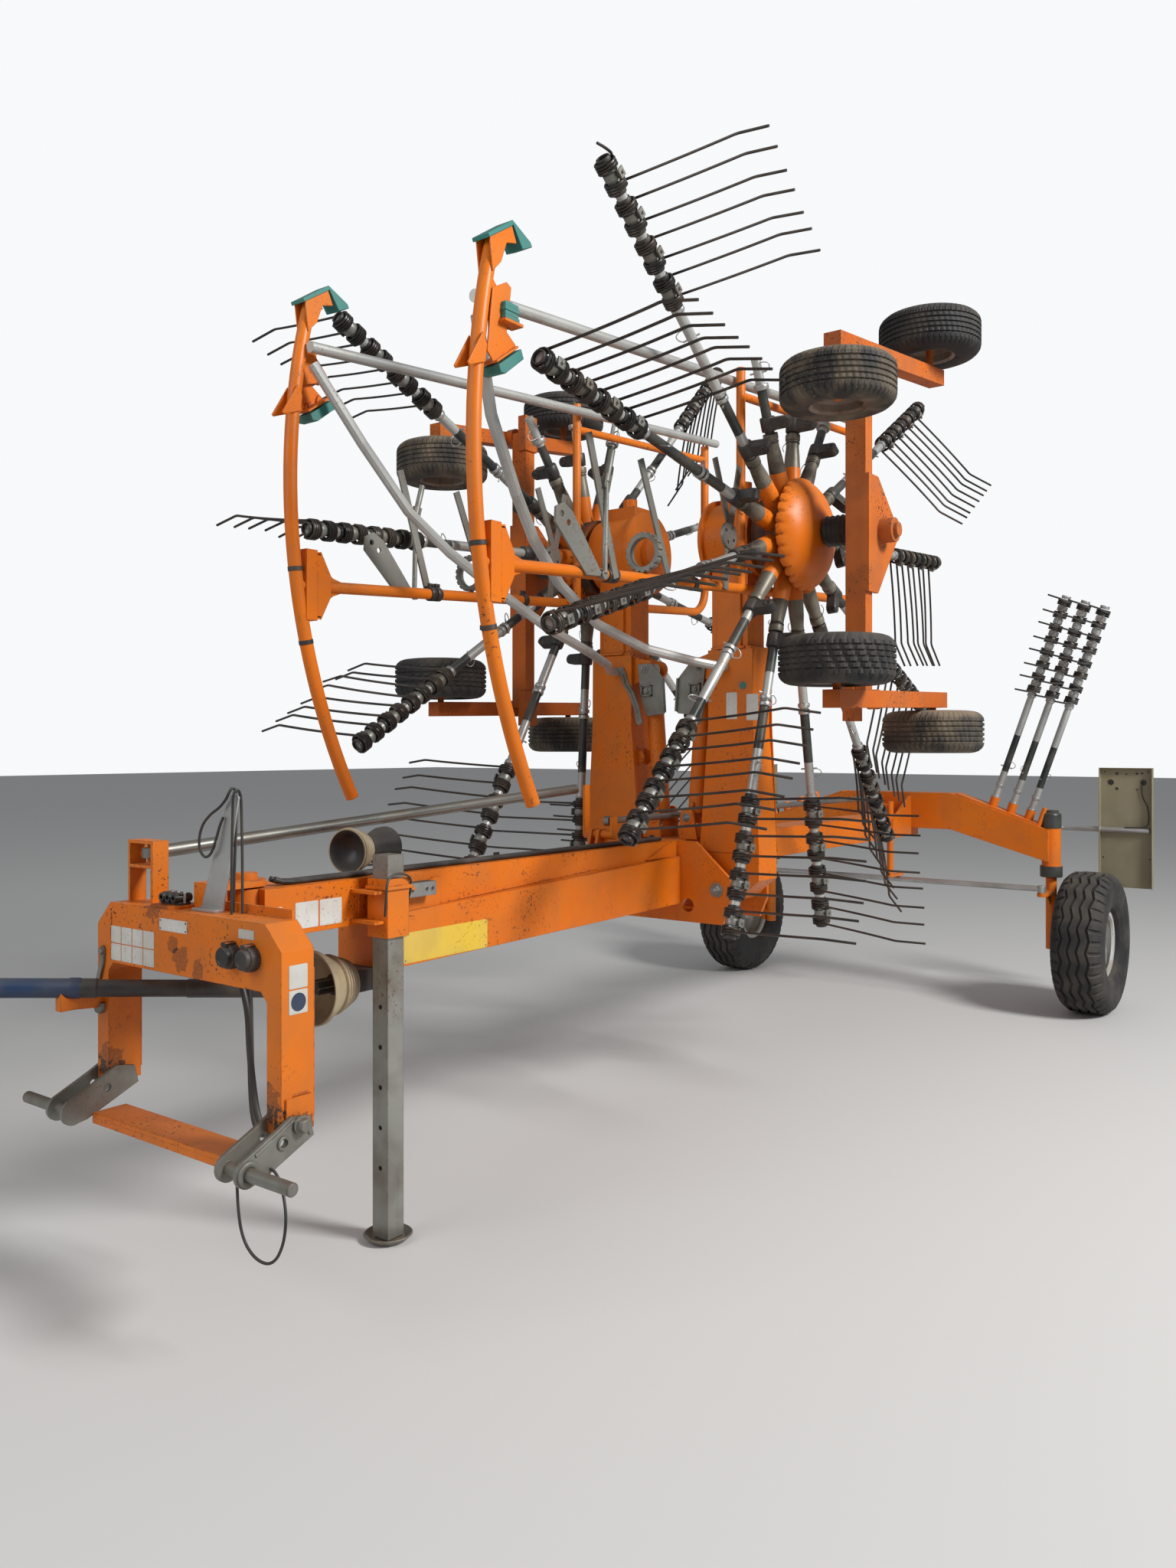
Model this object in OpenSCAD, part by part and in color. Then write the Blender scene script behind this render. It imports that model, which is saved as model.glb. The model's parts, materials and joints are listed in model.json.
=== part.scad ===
// Twin-rotor rotary hay rake, folded for the road and parked on its stand and rear wheels.
// X runs forward to the hitch, Y to the left, Z up; the ground is at z = 0.

/* [Rear axle] */
// Outer diameter of a rear tyre
tyre_d = 845; // [780:1:880]
// Width of a rear tyre
tyre_w = 290; // [250:1:300]
// Diameter of the rear rim
rim_d = 400; // [360:1:420]
// Distance from the middle of the machine to the middle of a rear tyre
wheel_y = 1190; // [1170:1:1250]
// Distance from the middle of the machine to a kingpin
kingpin_y = 960; // [940:1:970]
// Depth of the axle beam along the machine
axle_depth = 150; // [120:1:170]
// Height of the axle beam's top in the middle
axle_top_z = 1300; // [1280:1:1340]
// Height of the axle beam's section in the middle
axle_h = 230; // [200:1:250]
// Half of the straight middle stretch of the axle beam
axle_flat_y = 355; // [300:1:400]
// Height of the axle beam's top at the kingpins
axle_end_top_z = 1090; // [1060:1:1110]
// Height of the axle beam's section at the kingpins
axle_end_h = 195; // [180:1:210]
// Diameter of a stub axle
stub_d = 50; // [40:1:60]
// Reach of a steering arm ahead of its kingpin
steer_arm = 200; // [180:1:220]

/* [Main beam] */
// Half width of the main tube
beam_half = 90; // [80:1:100]
// Height of the main tube's underside
beam_z = 1020; // [1000:1:1040]
// Height of the main tube's section
beam_h = 150; // [130:1:160]
// Half width of the deep box under the main tube
box_half = 120; // [110:1:125]
// Height of the deep box's underside
box_z = 860; // [850:1:900]
// Front end of the deep box
box_front_x = 4720; // [4650:1:4740]
// Place of the swivel pin of the headstock
swivel_x = 5200; // [5180:1:5220]
// Diameter of the swivel pin
swivel_pin_d = 50; // [40:1:60]

/* [Lift arms] */
// Distance from the middle of the machine to a lift arm's pivot
pivot_y = 310; // [305:1:315]
// Height of the lift arms' pivots
pivot_z = 960; // [955:1:965]
// Diameter of a pivot pin
pivot_d = 50; // [40:1:60]
// Middle of the lift arms along the machine
arm_x = 2740; // [2730:1:2750]
// Depth of a lift arm along the machine
arm_depth = 170; // [150:1:180]
// Top of a lift arm when folded up
arm_top_z = 2050; // [2000:1:2080]
// Outer face of a folded lift arm at its foot
arm_outer_y = 470; // [450:1:480]
// Inner face of a folded lift arm at its foot
arm_inner_y = 180; // [170:1:190]

/* [Rotors] */
// Place of the rotor axis along the machine
rotor_x = 2700; // [2690:1:2710]
// Height of the rotor axis when folded up
rotor_z = 2540; // [2538:1:2560]
// Distance from the middle of the machine to the plane of the tine arms
rotor_y = 560; // [555:1:565]
// Number of arm positions round a rotor
arm_count = 13; // [9:1:13]
// Outer end of a tine arm
arm_r = 1800; // [1790:1:1805]
// Diameter of a tine arm's tube
arm_tube_d = 42; // [38:1:48]
// End of a removable arm's stub
stub_r = 780; // [700:1:820]
// Outer end of a hub sleeve
sleeve_r = 460; // [420:1:480]
// Spacing of the pairs of tines along an arm
coil_pitch = 158; // [150:1:159]
// Diameter of a tine's coil
coil_d = 84; // [76:1:88]
// Length of a double coil along the arm
coil_len = 128; // [120:1:134]
// Distance between the two tines of a pair
tine_gap = 88; // [80:1:90]
// Diameter of a tine's wire
tine_d = 10; // [8:0.5:11]
// Length of a tine before its bend
tine_len = 450; // [400:1:452]
// Length of a tine's bent tip
tine_tip = 138; // [100:1:140]
// Diameter of the rotor shaft
shaft_d = 80; // [70:1:90]
// Radius of the dished cover of the hub
dome_r = 250; // [240:1:260]

/* [Rotor wheels] */
// Outer diameter of a rotor wheel
small_d = 445; // [430:1:450]
// Width of a rotor wheel
small_w = 190; // [180:1:200]
// Distance from the middle of the machine to the rotor wheels' axles
small_y = 1047; // [1044:1:1047]

/* [Guards] */
// Radius of a curved guard tube
hoop_r = 2480; // [2450:1:2500]
// Diameter of a guard tube
hoop_d = 50; // [44:1:56]
// Distance from the middle of the machine to a guard tube
hoop_y = 450; // [440:1:455]

/* [Headstock] */
// Outer half width of the headstock
head_half = 445; // [430:1:460]
// Depth of the headstock
head_depth = 110; // [100:1:120]
// Rear face of the headstock
head_x = 5310; // [5300:1:5320]
// Top of the headstock
head_top_z = 1120; // [1110:1:1125]
// Height of the headstock's front plate
head_plate_h = 185; // [170:1:200]
// Width of a headstock leg
head_leg = 60; // [50:1:70]
// Lower end of the headstock legs
head_foot_z = 560; // [540:1:580]
// Diameter of a lower link pin
link_pin_d = 36; // [28:0.1:37]

/* [Parking stand] */
// Place of the stand along the machine
stand_x = 4775; // [4770:1:4780]
// Distance of the stand from the middle
stand_y = 172; // [170:1:180]
// Side of the stand's square tube
stand_side = 70; // [60:1:75]
// Diameter of the stand's foot
foot_d = 160; // [140:1:200]

/* [Hidden] */
$fn = 48;
orange = "#e8641a";
zinc = "#a9adae";
dark = "#2a2b2c";
fit = 0.3;
gap = 6;

// the box of the whole machine runs from the lamp boards to the end of the drive shaft
board_x = -470;
shaft_end = [6000, -787, 900];
shaft_start = [5020, -30, 830];
shaft_tube_d = 60;
shaft_run = (shaft_end - shaft_start) / norm(shaft_end - shaft_start);
origin_x = (shaft_end[0] + shaft_tube_d / 2 * sqrt(1 - pow(shaft_run[0], 2)) + board_x) / 2;

// pivot plates, one behind and one ahead of each lift arm's foot
plate_t = 20;
boss_lift = 8;
plate_back_x = arm_x - 180;
plate_front_x = arm_x + 160;
foot_x0 = plate_back_x + plate_t + gap;
foot_x1 = plate_front_x - boss_lift - gap;
beam_top_z = beam_z + beam_h;

// lift cylinders: foot pin on the tower, eye on the lift arm
ram_foot = [95, 1270];
ram_eye = [148, 1970];
ram_d = 80;
ram_rod_d = 40;
ram_barrel = 640;
ram_dir = atan2(ram_eye[0] - ram_foot[0], ram_eye[1] - ram_foot[1]);
ram_len = norm(ram_eye - ram_foot);

// rotor wheels: place along the machine, height, and which side of its beam each hangs on
small_wheels = [[3260, 2990, -1], [2290, 3440, 1], [3270, 1930, 1], [2250, 1665, -1]];
// tandem beams: front end and back end, each a place and a height
tandems = [[[3310, 3145], [2200, 3278]], [[3320, 1782], [2160, 1812]]];

// undercarriage beam, which stands ahead of the rotor axis
under_front = rotor_x + 120;
under_back = rotor_x + 50;
under_y0 = 880;
under_y1 = 970;

// hose holder on the headstock, and the two sockets in its front plate
blade_x = 5345;
sockets = [[240, 1021], [325, 1022]];

// the sloping top of the axle beam
slope_a = atan((axle_top_z - axle_end_top_z) / (kingpin_y - axle_flat_y));
// front edge of a guard tube at a height
function hoop_x(z) = hoop_c[0] + sqrt(pow(hoop_r, 2) - pow(z - hoop_c[1], 2));
// middle of the guard's rail at a place along the machine
function rail_at(x) = rail_z + (hoop_x(rail_z) - x) * tan(rail_a);
function slope_z(y) = axle_top_z - (y - axle_flat_y) * tan(slope_a);

// radius of the innermost pair of tines, from the arm's end inwards
coil_r1 = arm_r + 8 - coil_len / 2 - 3 * coil_pitch;

// tine arms: position round the rotor, and how far the cam has turned the tines back
left_arms = [[0, 0], [1, 0], [5, 50], [6, 80], [7, 84], [8, 60], [9, 10], [10, 0], [11, 0], [12, 0]];
right_arms = [[0, 0], [1, 0], [5, 50], [6, 80], [7, 84], [8, 60], [9, 10], [10, 0], [11, 0], [12, 0]];
bare_stubs = [2, 3, 4];
lever_len = 84;
lever_w = 50;
coil_half = (coil_len - tine_gap) / 2;
left_phase = 10.4;
right_phase = -3.5;
arm_step = 360 / arm_count;

// steering: bracket on the headstock, relay levers and tie rod
rod_d = 42;
bracket = [5330, -300, 1270];
relay = [3300, -125, 1215];
relay_long = 195;
relay_short = 60;
// how far the front rod's rear end moves towards its lever at full lock, and room beside it
rod_sway = 28 + gap + 2;
rear_relay = [350, 70];
rear_upper = 80;
rear_lower = 150;
tie_z = 740;
rear_rod_y = rear_relay[1] - rear_upper;

// hoses and cords, as points along their middles
hose_d = 20;
portal_route_1 = [[5309.7, 240, 1021], [5285, 240, 1021], [5266, 239, 1008], [5256, 235, 960], [5252,
    228, 860],
    [5250, 220, 740], [5249, 210, 620], [5249, 196, 530], [5249, 176, 482], [5249, 148, 462], [5249, 120,
        474],
    [5248, 100, 515], [5246, 88, 590], [5243, 80, 700], [5240, 72, 820], [5234, 56, 910], [5230, 48,
        965], [5230, 48, 993.7]];
portal_route_2 = [[5309.7, 325, 1022], [5287, 325, 1022], [5270, 324, 1008], [5263, 320, 968], [5264,
    312, 860],
    [5270, 302, 760], [5276, 288, 660], [5280, 270, 580], [5281, 246, 520], [5281, 216, 492], [5281, 184,
        500],
    [5280, 158, 540], [5278, 138, 610], [5276, 120, 710], [5272, 104, 820], [5268, 66, 910], [5266, 42,
        962], [5266, 42, 993.7]];
blade_route_1 = [[5333, 120, 1120.3], [5333, 122, 1160], [5333, 126, 1250], [5333, 132, 1350], [5333,
    136, 1430],
    [5336, 137, 1464], [5347, 137, 1480], [5358, 136, 1470], [5363, 126, 1448], [5365, 98, 1424], [5366,
        58, 1402],
    [5366, 22, 1372], [5366, 4, 1332], [5366, 8, 1296], [5366, 32, 1278], [5366, 60, 1290], [5365, 80,
        1326],
    [5362, 96, 1370], [5357, 106, 1396]];
blade_route_2 = [[5362, 151, 1120.3], [5362, 151, 1180], [5361, 151, 1280], [5360, 153, 1380], [5360,
    155, 1440],
    [5357, 156, 1466], [5348, 157, 1476], [5339, 158, 1466], [5335, 159, 1440], [5334, 161, 1360], [5333,
        162, 1260],
    [5333, 162, 1120.3]];
pin_route = [[5540, 418, 481.5], [5540, 419, 450], [5540, 424, 400], [5540, 436, 350], [5538, 458, 312],
    [5534, 492, 288], [5528, 530, 284], [5520, 556, 304], [5508, 566, 345], [5495, 558, 395], [5484, 536,
        440],
    [5476, 508, 474], [5471, 484, 490], [5470, 464.8, 494]];

// guard tube: centre of its curve, and its ends as angles
hoop_c = [2190, 2580];
hoop_a0 = -28.3;
hoop_a1 = 15.4;
pipe_d = 42;
// frame that carries a guard tube: a rail, bent up behind, and a stand ahead of the rotor
rail_d = 44;
rail_bend = 130;
rail_z = 2190;
rail_a = 3.3;
stand_back_x = 1760;
stand_front_x = 2950;
stand_top_z = 3290;
// spare tine arms stored on the left slope of the axle
spare_places = [600, 710, 820];
spare_socket = 60;
pipe_y = hoop_y - hoop_d / 2 - pipe_d / 2 - fit;

module place() {
    translate([-origin_x, 0, 0]) children();
}

module on_side(s) {
    if (s > 0) children(); else mirror([0, 1, 0]) children();
}

// outline in x and z, from y0 to y1
module xz(y0, y1) {
    translate([0, y1, 0]) rotate([90, 0, 0]) linear_extrude(y1 - y0) children();
}

// outline in y and z, from x0 to x1
module yz(x0, x1) {
    translate([x0, 0, 0]) rotate([90, 0, 90]) linear_extrude(x1 - x0) children();
}

module block(a, b) {
    translate(a) cube(b - a);
}

module round_x(d, x0, x1, y, z) {
    translate([x0, y, z]) rotate([0, 90, 0]) cylinder(d = d, h = x1 - x0);
}

module round_y(d, y0, y1, x, z) {
    translate([x, y1, z]) rotate([90, 0, 0]) cylinder(d = d, h = y1 - y0);
}

// round bar from point a to point b
module bar(a, b, d, sides = 48) {
    v = b - a;
    n = norm(v);
    translate(a) rotate([0, acos(v[2] / n), atan2(v[1], v[0])]) cylinder(d = d, h = n, $fn = sides);
}

function unit(v) = v / norm(v);

// direction of a path at point i, halfway between its two stretches
function run_at(p, i) = i == 0 ? unit(p[1] - p[0])
    : i == len(p) - 1 ? unit(p[i] - p[i - 1])
    : unit(unit(p[i] - p[i - 1]) + unit(p[i + 1] - p[i]));

// side direction at each point of a path, carried along from up without twist
function carried(p, up, i = 0) = let (t = run_at(p, i), w = unit(up - (up * t) * t))
    i == len(p) - 1 ? [w] : concat([w], carried(p, w, i + 1));

// bent tube swept through a list of points
module tube_path(p, d, sides = 10, up = [0, 0, 1]) {
    side = carried(p, up);
    rings = [for (i = [0 : len(p) - 1]) let (w = side[i], u = cross(run_at(p, i), w))
        for (k = [0 : sides - 1]) p[i] + d / 2 * (cos(k * 360 / sides) * w + sin(k * 360 / sides) * u)];
    n = len(p);
    polyhedron(rings, concat([[for (k = [0 : sides - 1]) k]],
        [for (i = [0 : n - 2]) for (k = [0 : sides - 1]) let (m = (k + 1) % sides)
            [i * sides + k, (i + 1) * sides + k, (i + 1) * sides + m, i * sides + m]],
        [[for (k = [sides - 1 : -1 : 0]) (n - 1) * sides + k]]));
}

module main_beam() {
    socket = stand_side + 2 * fit;
    sleeve_t = 12;
    sy0 = stand_y - stand_side / 2 - sleeve_t;
    sy1 = stand_y + stand_side / 2 + sleeve_t;
    sx = stand_side / 2 + sleeve_t;
    color(orange) difference() {
        union() {
            block([axle_depth / 2, -beam_half, beam_z], [swivel_x, beam_half, beam_top_z]);
            xz(-box_half, box_half) polygon([[plate_front_x + plate_t, box_z + 25], [box_front_x, box_z],
                [box_front_x, beam_z + 20], [plate_front_x + plate_t, beam_z + 80]]);
            // end plate of the deep box, with its gussets
            xz(-box_half - 12, box_half + 12) polygon([[box_front_x - 12, 800], [box_front_x, 790],
                [box_front_x, beam_z + 45], [box_front_x - 12, beam_z + 45]]);
            for (s = [-1, 1]) on_side(s) {
                xz(beam_half - 1, beam_half + 11) polygon([[box_front_x - 11, beam_z + 19],
                    [box_front_x - 11, beam_z + 45],
                    [box_front_x - 230, beam_top_z - 25], [box_front_x - 260, beam_top_z - 25],
                        [box_front_x - 260, beam_z + 19]]);
                xz(beam_half - 1, beam_half + 11) polygon([[axle_depth / 2, beam_z], [axle_depth / 2,
                    axle_top_z - 20],
                    [axle_depth / 2 + 30, axle_top_z - 20], [380, beam_top_z - 30], [380, beam_z]]);
                xz(beam_half - 1, beam_half + 11) polygon([[plate_front_x + plate_t, beam_z + 79],
                    [plate_front_x + plate_t, beam_top_z], [plate_front_x + 90, beam_top_z - 10],
                        [plate_front_x + 260, beam_z + 78]]);
            }
            // sleeve of the parking stand and the plates that carry it
            block([stand_x - sx, sy0, beam_z - 35], [stand_x + sx, sy1, beam_top_z + 4]);
            block([stand_x - sx - 8, sy0 - 1, beam_top_z - 30], [stand_x + sx + 8, sy1 + 8,
                beam_top_z - 18]);
            for (z = [beam_z + 12, beam_top_z - 42]) block([stand_x - 90, beam_half - 1, z],
                [stand_x + 90, sy1 - 14, z + 10]);
            round_x(44, box_front_x - 190, box_front_x - 10, beam_half + 33, 1116);
            for (x = [box_front_x - 180, box_front_x - 50]) block([x, beam_half - 1, 1106], [x + 10,
                beam_half + 33, 1126]);
            translate([swivel_x, 0, beam_z]) cylinder(d = 120, h = beam_h);
            for (y = [-95, -55]) xz(y, y + 15) polygon([[relay[0] - 45, beam_top_z - 1], [relay[0] + 45,
                beam_top_z - 1],
                [relay[0] + 26, relay[2] + 22], [relay[0] - 26, relay[2] + 22]]);
        }
        round_y(40 + 2 * fit, -200, 0, relay[0], relay[2]);
        translate([rear_relay[0], rear_relay[1], 0]) cylinder(d = 40 + 2 * fit, h = 2000);
        translate([swivel_x, 0, 0]) cylinder(d = swivel_pin_d + 0.1, h = 2000);
        translate([stand_x - socket / 2, stand_y - socket / 2, 0]) cube([socket, socket, 2000]);
    }
}

// a pair of hoses held along the beam, from the swivel back to the pivot plates
module beam_hoses() {
    z = beam_top_z + fit + 9;
    x0 = plate_front_x + plate_t + 60;
    color(dark) for (y = [27, 49]) {
        tube_path([[x0, y, z], [3600, y, z], [4000, y + 2, z], [4400, y, z], [4800, y - 1, z], [5060, y,
            z], [5100, y - 4, z + 3],
            [5124, y - 9, z + 12]], 18, 12);
    }
    color(zinc) for (x = [x0, 3500, 4050, 4600]) block([x, 12, beam_top_z], [x + 30, 17, beam_top_z + 26]);
}

module pivot_frame() {
    color(orange) {
        for (x = [plate_back_x, plate_front_x]) difference() {
            union() {
                yz(x, x + plate_t) polygon([[-340, 805], [340, 805], [380, 900], [380, 1010], [200,
                    beam_top_z],
                    [-200, beam_top_z], [-380, 1010], [-380, 900]]);
                for (s = [-1, 1]) round_x(130, x - boss_lift, x + plate_t, s * pivot_y, pivot_z);
            }
            block([x - 50, -beam_half, beam_z], [x + 50, beam_half, beam_top_z + 10]);
            for (s = [-1, 1]) round_x(60, x - 50, x + 50, s * 160, 880);
        }
        block([plate_back_x + plate_t - 1, -70, 806], [plate_front_x + 1, 70, 822]);
        for (x = [arm_x - 85, arm_x + 70]) for (s = [-1, 1]) on_side(s) {
            yz(x, x + 15) polygon([[50, beam_top_z], [150, beam_top_z], [130, 1290], [115, 1312], [75,
                1312], [60, 1290]]);
            round_x(64, x - 4, x + 19, ram_foot[0], ram_foot[1]);
        }
    }
    color(zinc) for (s = [-1, 1]) {
        round_x(pivot_d, plate_back_x + plate_t, plate_front_x, s * pivot_y, pivot_z);
        round_x(30, arm_x - 70, arm_x + 70, s * ram_foot[0], ram_foot[1]);
    }
}

module axle_beam() {
    end_low = axle_end_top_z - axle_end_h;
    low = axle_top_z - axle_h;
    half = [[0, axle_top_z], [axle_flat_y, axle_top_z], [kingpin_y, axle_end_top_z],
        [kingpin_y, end_low], [axle_flat_y, low], [0, low]];
    color(orange) difference() {
        union() {
            for (s = [-1, 1]) on_side(s) {
                yz(-axle_depth / 2, axle_depth / 2) polygon(half);
                translate([0, kingpin_y, 868]) cylinder(d = 110, h = 1190 - 868);
                translate([0, kingpin_y, 800]) cylinder(d = 124, h = 70);
                translate([0, kingpin_y, 1189]) cylinder(d = 84, h = 16);
                // flat bar along the slope, which holds the sockets
                translate([0, axle_flat_y + 30, slope_z(axle_flat_y + 30)]) rotate([-slope_a, 0, 0])
                    block([-60, 0, -1], [60, 540, 12]);
                for (y = spare_places) translate([0, y, slope_z(y)]) rotate([-slope_a, 0, 0])
                    difference() {
                        cylinder(d = arm_tube_d + 14, h = 12 + spare_socket);
                        translate([0, 0, 12]) cylinder(d = arm_tube_d + 2 * fit, h = 100);
                    }
                translate([40, kingpin_y - 75, 1080]) rotate([-slope_a, 0, 0]) cylinder(d = 30, h = 150);
            }
            block([-axle_depth / 2, -beam_half, beam_z], [axle_depth / 2, beam_half, low + 1]);
        }
        for (s = [-1, 1]) translate([0, s * kingpin_y, 0]) cylinder(d = 44 + 2 * fit, h = 1180);
    }
}

module tine() {
    bend = [0, 90, -tine_len];
    bar([0, coil_d / 2 - tine_d, 0], bend, tine_d, 6);
    bar(bend + [0, 0.4, 2], bend + [0, -24, -tine_tip], tine_d, 6);
}

// along x from x0 to x1
module along(d, x0, x1) {
    translate([x0, 0, 0]) rotate([0, 90, 0]) cylinder(d = d, h = x1 - x0);
}

// one tine arm along x, its tines towards -z
module tine_arm(r0, turn) {
    along(arm_tube_d, r0, arm_r);
    for (i = [0 : 3]) translate([coil_r1 + i * coil_pitch, 0, 0]) rotate([turn, 0, 0]) {
        for (s = [-1, 1]) along(coil_d, s * tine_gap / 2 - coil_half, s * tine_gap / 2 + coil_half);
        along(coil_d - 24, -tine_gap / 2, tine_gap / 2);
        for (s = [-1, 1]) translate([s * (tine_gap / 2), 0, 0]) tine();
    }
}

// lever by which the cam turns a tine arm
module cam_lever() {
    along(arm_tube_d + 18, sleeve_r, sleeve_r + 70);
    translate([sleeve_r + 14, 0, 0]) {
        block([0, -22, -lever_len], [lever_w, 22, 0]);
        translate([lever_w / 2, 22, -lever_len]) rotate([90, 0, 0]) cylinder(d = lever_w, h = 44);
    }
}

module at_rotor() {
    translate([rotor_x, rotor_y, rotor_z]) rotate([90, 0, 0]) children();
}

module tine_arms(arms, phase) {
    color(dark) at_rotor() {
        for (a = arms) rotate([0, 0, phase + a[0] * arm_step]) tine_arm(sleeve_r, a[1]);
        for (k = bare_stubs) rotate([0, 0, phase + k * arm_step]) {
            along(arm_tube_d, sleeve_r, stub_r);
            along(arm_tube_d + 14, stub_r - 130, stub_r - 110);
        }
        for (a = arms) rotate([0, 0, phase + a[0] * arm_step]) rotate([a[1], 0, 0]) cam_lever();
    }
}

module hub(phase) {
    scallop = 38;
    color(orange) at_rotor() difference() {
        union() {
            translate([0, 0, -80]) cylinder(r = 190, h = 176);
            for (k = [0 : arm_count - 1]) rotate([0, 0, phase + k * arm_step]) {
                translate([150, 0, 0]) rotate([0, 90, 0]) cylinder(d1 = 86, d2 = 58, h = sleeve_r - 150);
                along(66, sleeve_r - 26, sleeve_r);
            }
            // dished cover, scalloped between the arms
            difference() {
                rotate_extrude() polygon([[0, -60], [dome_r, -60], [dome_r, -78], [dome_r - 22, -98],
                    [dome_r - 60, -128],
                    [120, -158], [76, -172], [0, -172]]);
                for (k = [0 : arm_count - 1]) rotate([0, 0, phase + (k + 0.5) * arm_step])
                    translate([dome_r + scallop / 3, 0, -150]) cylinder(d = scallop, h = 89);
            }
        }
        translate([0, 0, -300]) cylinder(d = shaft_d + 2 * fit, h = 600);
    }
}

module rotor_head() {
    color(orange) {
        round_y(360, 215, 440, rotor_x, rotor_z);
        round_y(400, 198, 216, rotor_x, rotor_z);
        round_y(150, 165, 199, rotor_x, rotor_z);
        round_y(shaft_d, 430, under_y1, rotor_x, rotor_z);
        block([arm_x - 75, 225, arm_top_z], [arm_x + 75, 410, rotor_z - 100]);
        for (x = [arm_x - 90, arm_x + 75]) xz(260, 380) polygon([[x, arm_top_z], [x + 15, arm_top_z],
            [x + 15, rotor_z - 210], [x, rotor_z - 210]]);
        // gear box that the drive shaft of the rotor enters
        block([rotor_x - 95, 240, rotor_z + 150], [rotor_x + 65, 400, rotor_z + 225]);
        translate([rotor_x - 15, 320, rotor_z + 224]) cylinder(d = 70, h = 50);
    }
}

module bellows() {
    color(dark) at_rotor() difference() {
        rotate_extrude() polygon(concat([[shaft_d / 2 + fit, -320 + fit], [shaft_d / 2 + fit, -177]],
            [for (i = [0 : 12]) [i % 2 == 0 ? 56 : 68, -177 - i * (143 - fit) / 12]]));
    }
}

module undercarriage() {
    flange = 15;
    color(orange) {
        block([under_back, under_y0, 1800], [under_front, under_y1, 3220]);
        // plates that hold the end of the rotor shaft
        for (y = [under_y0, under_y1]) difference() {
            xz(y, y + flange) polygon([[under_front, 2250], [under_back - 30, 2250], [rotor_x - 190,
                rotor_z - 35],
                [rotor_x - 190, rotor_z + 20], [under_back - 30, 2745], [under_front, 2745]]);
            if (y == under_y0) block([under_back, under_y0 - 1, 2000], [under_front + 1, under_y0 + 60,
                3000]);
            if (y == under_y0) round_y(shaft_d + 2 * fit, 800, 930, rotor_x, rotor_z);
        }
        round_y(104, under_y1 + flange - 1, under_y1 + 75, rotor_x - 20, rotor_z - 20);
        round_y(60, under_y1 + 74, under_y1 + 92, rotor_x - 20, rotor_z - 20);
        for (t = tandems) {
            mid = (t[0] + t[1]) / 2;
            xz(small_y - 35, small_y + 35) polygon([t[0] + [0, 35], t[1] + [0, 35], t[1] - [0, 35],
                t[0] - [0, 35]]);
            round_y(84, under_y1 - 1, small_y - 34, (under_front + under_back) / 2, mid[1]);
            block([under_back - 12, under_y0 - 8, mid[1] - 90], [under_front + 12, under_y0 + 40,
                mid[1] + 90]);
        }
    }
    color(zinc) for (w = small_wheels)
        translate([w[0], small_y, w[1] + (w[2] < 0 ? -60 : -150)]) cylinder(d = 30, h = 210);
}

module small_wheel(i) {
    w = small_wheels[i];
    h = small_w / 2;
    r = small_d / 2;
    groove = 7;
    color(dark) translate([w[0], small_y, w[1]]) rotate_extrude() polygon(concat([[15 + fit, -40], [34,
        -40], [34, -14],
        [72, -12], [98, -h + 34], [98, -h + 16], [112, -h + 6], [r - 62, -h], [r - 22, -h + 10], [r,
            -h + 36]],
        [for (k = [-2 : 2]) for (e = [[0, -5], [-groove, -3], [-groove, 3], [0, 5]]) [r + e[0],
            k * 22 + e[1]]],
        [[r, h - 36], [r - 22, h - 10], [r - 62, h], [112, h - 6], [98, h - 16], [98, h - 34], [72, 2],
            [34, 4], [34, 40],
        [15 + fit, 40]]));
}

module lift_arm() {
    top = arm_top_z;
    x0 = arm_x - arm_depth / 2;
    x1 = arm_x + arm_depth / 2;
    color(orange) difference() {
        union() {
            yz(x0, x1) polygon([[arm_inner_y, 1000], [250, 905], [350, 905], [arm_outer_y, 1000],
                [arm_outer_y, 1180],
                [432, 1700], [430, top], [225, top], [225, 1700], [arm_inner_y, 1180]]);
            // broad front and back flanges
            for (x = [x0 - 6, x1]) yz(x, x + 6) polygon([[arm_inner_y - 12, 1120], [arm_outer_y + 5, 1120],
                [444, 1700], [442, top - 12], [213, top - 12], [213, 1700]]);
            round_x(120, foot_x0, foot_x1, pivot_y, pivot_z);
            for (x = [arm_x - 62, arm_x + 47]) {
                yz(x, x + 15) polygon([[240, 1885], [130, 1935], [115, 1970], [130, 2005], [240, 2040]]);
                round_x(84, x - 3, x + 18, ram_eye[0], ram_eye[1]);
            }
            block([x0 - 16, 260, top - 10], [x1 + 16, 400, top]);
            // ears of the transport hook
            for (x = [arm_x - 40, arm_x + 28]) yz(x, x + 12) polygon([[240, 1500], [190, 1520],
                [174, 1550], [190, 1580], [240, 1600]]);
        }
        round_x(pivot_d + 0.1, 2000, 3500, pivot_y, pivot_z);
    }
}

// along the line from the foot pin to the eye of a lift cylinder
module at_ram() {
    translate([arm_x, ram_foot[0], ram_foot[1]]) rotate([-ram_dir, 0, 0]) children();
}

module cylinder_barrel() {
    color(dark) at_ram() difference() {
        union() {
            rotate([0, 90, 0]) cylinder(d = 60, h = 56, center = true);
            translate([0, 0, 20]) cylinder(d = ram_d, h = ram_barrel - 60);
            translate([0, 0, ram_barrel - 41]) cylinder(d = ram_d + 12, h = 41);
            for (z = [60, ram_barrel - 70]) translate([0, 0, z]) rotate([0, 90, 0]) cylinder(d = 24,
                h = ram_d / 2 + 14);
        }
        translate([0, 0, 50]) cylinder(d = ram_rod_d + 2 * fit, h = ram_barrel);
        rotate([0, 90, 0]) cylinder(d = 30 + 2 * fit, h = 100, center = true);
    }
}

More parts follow.
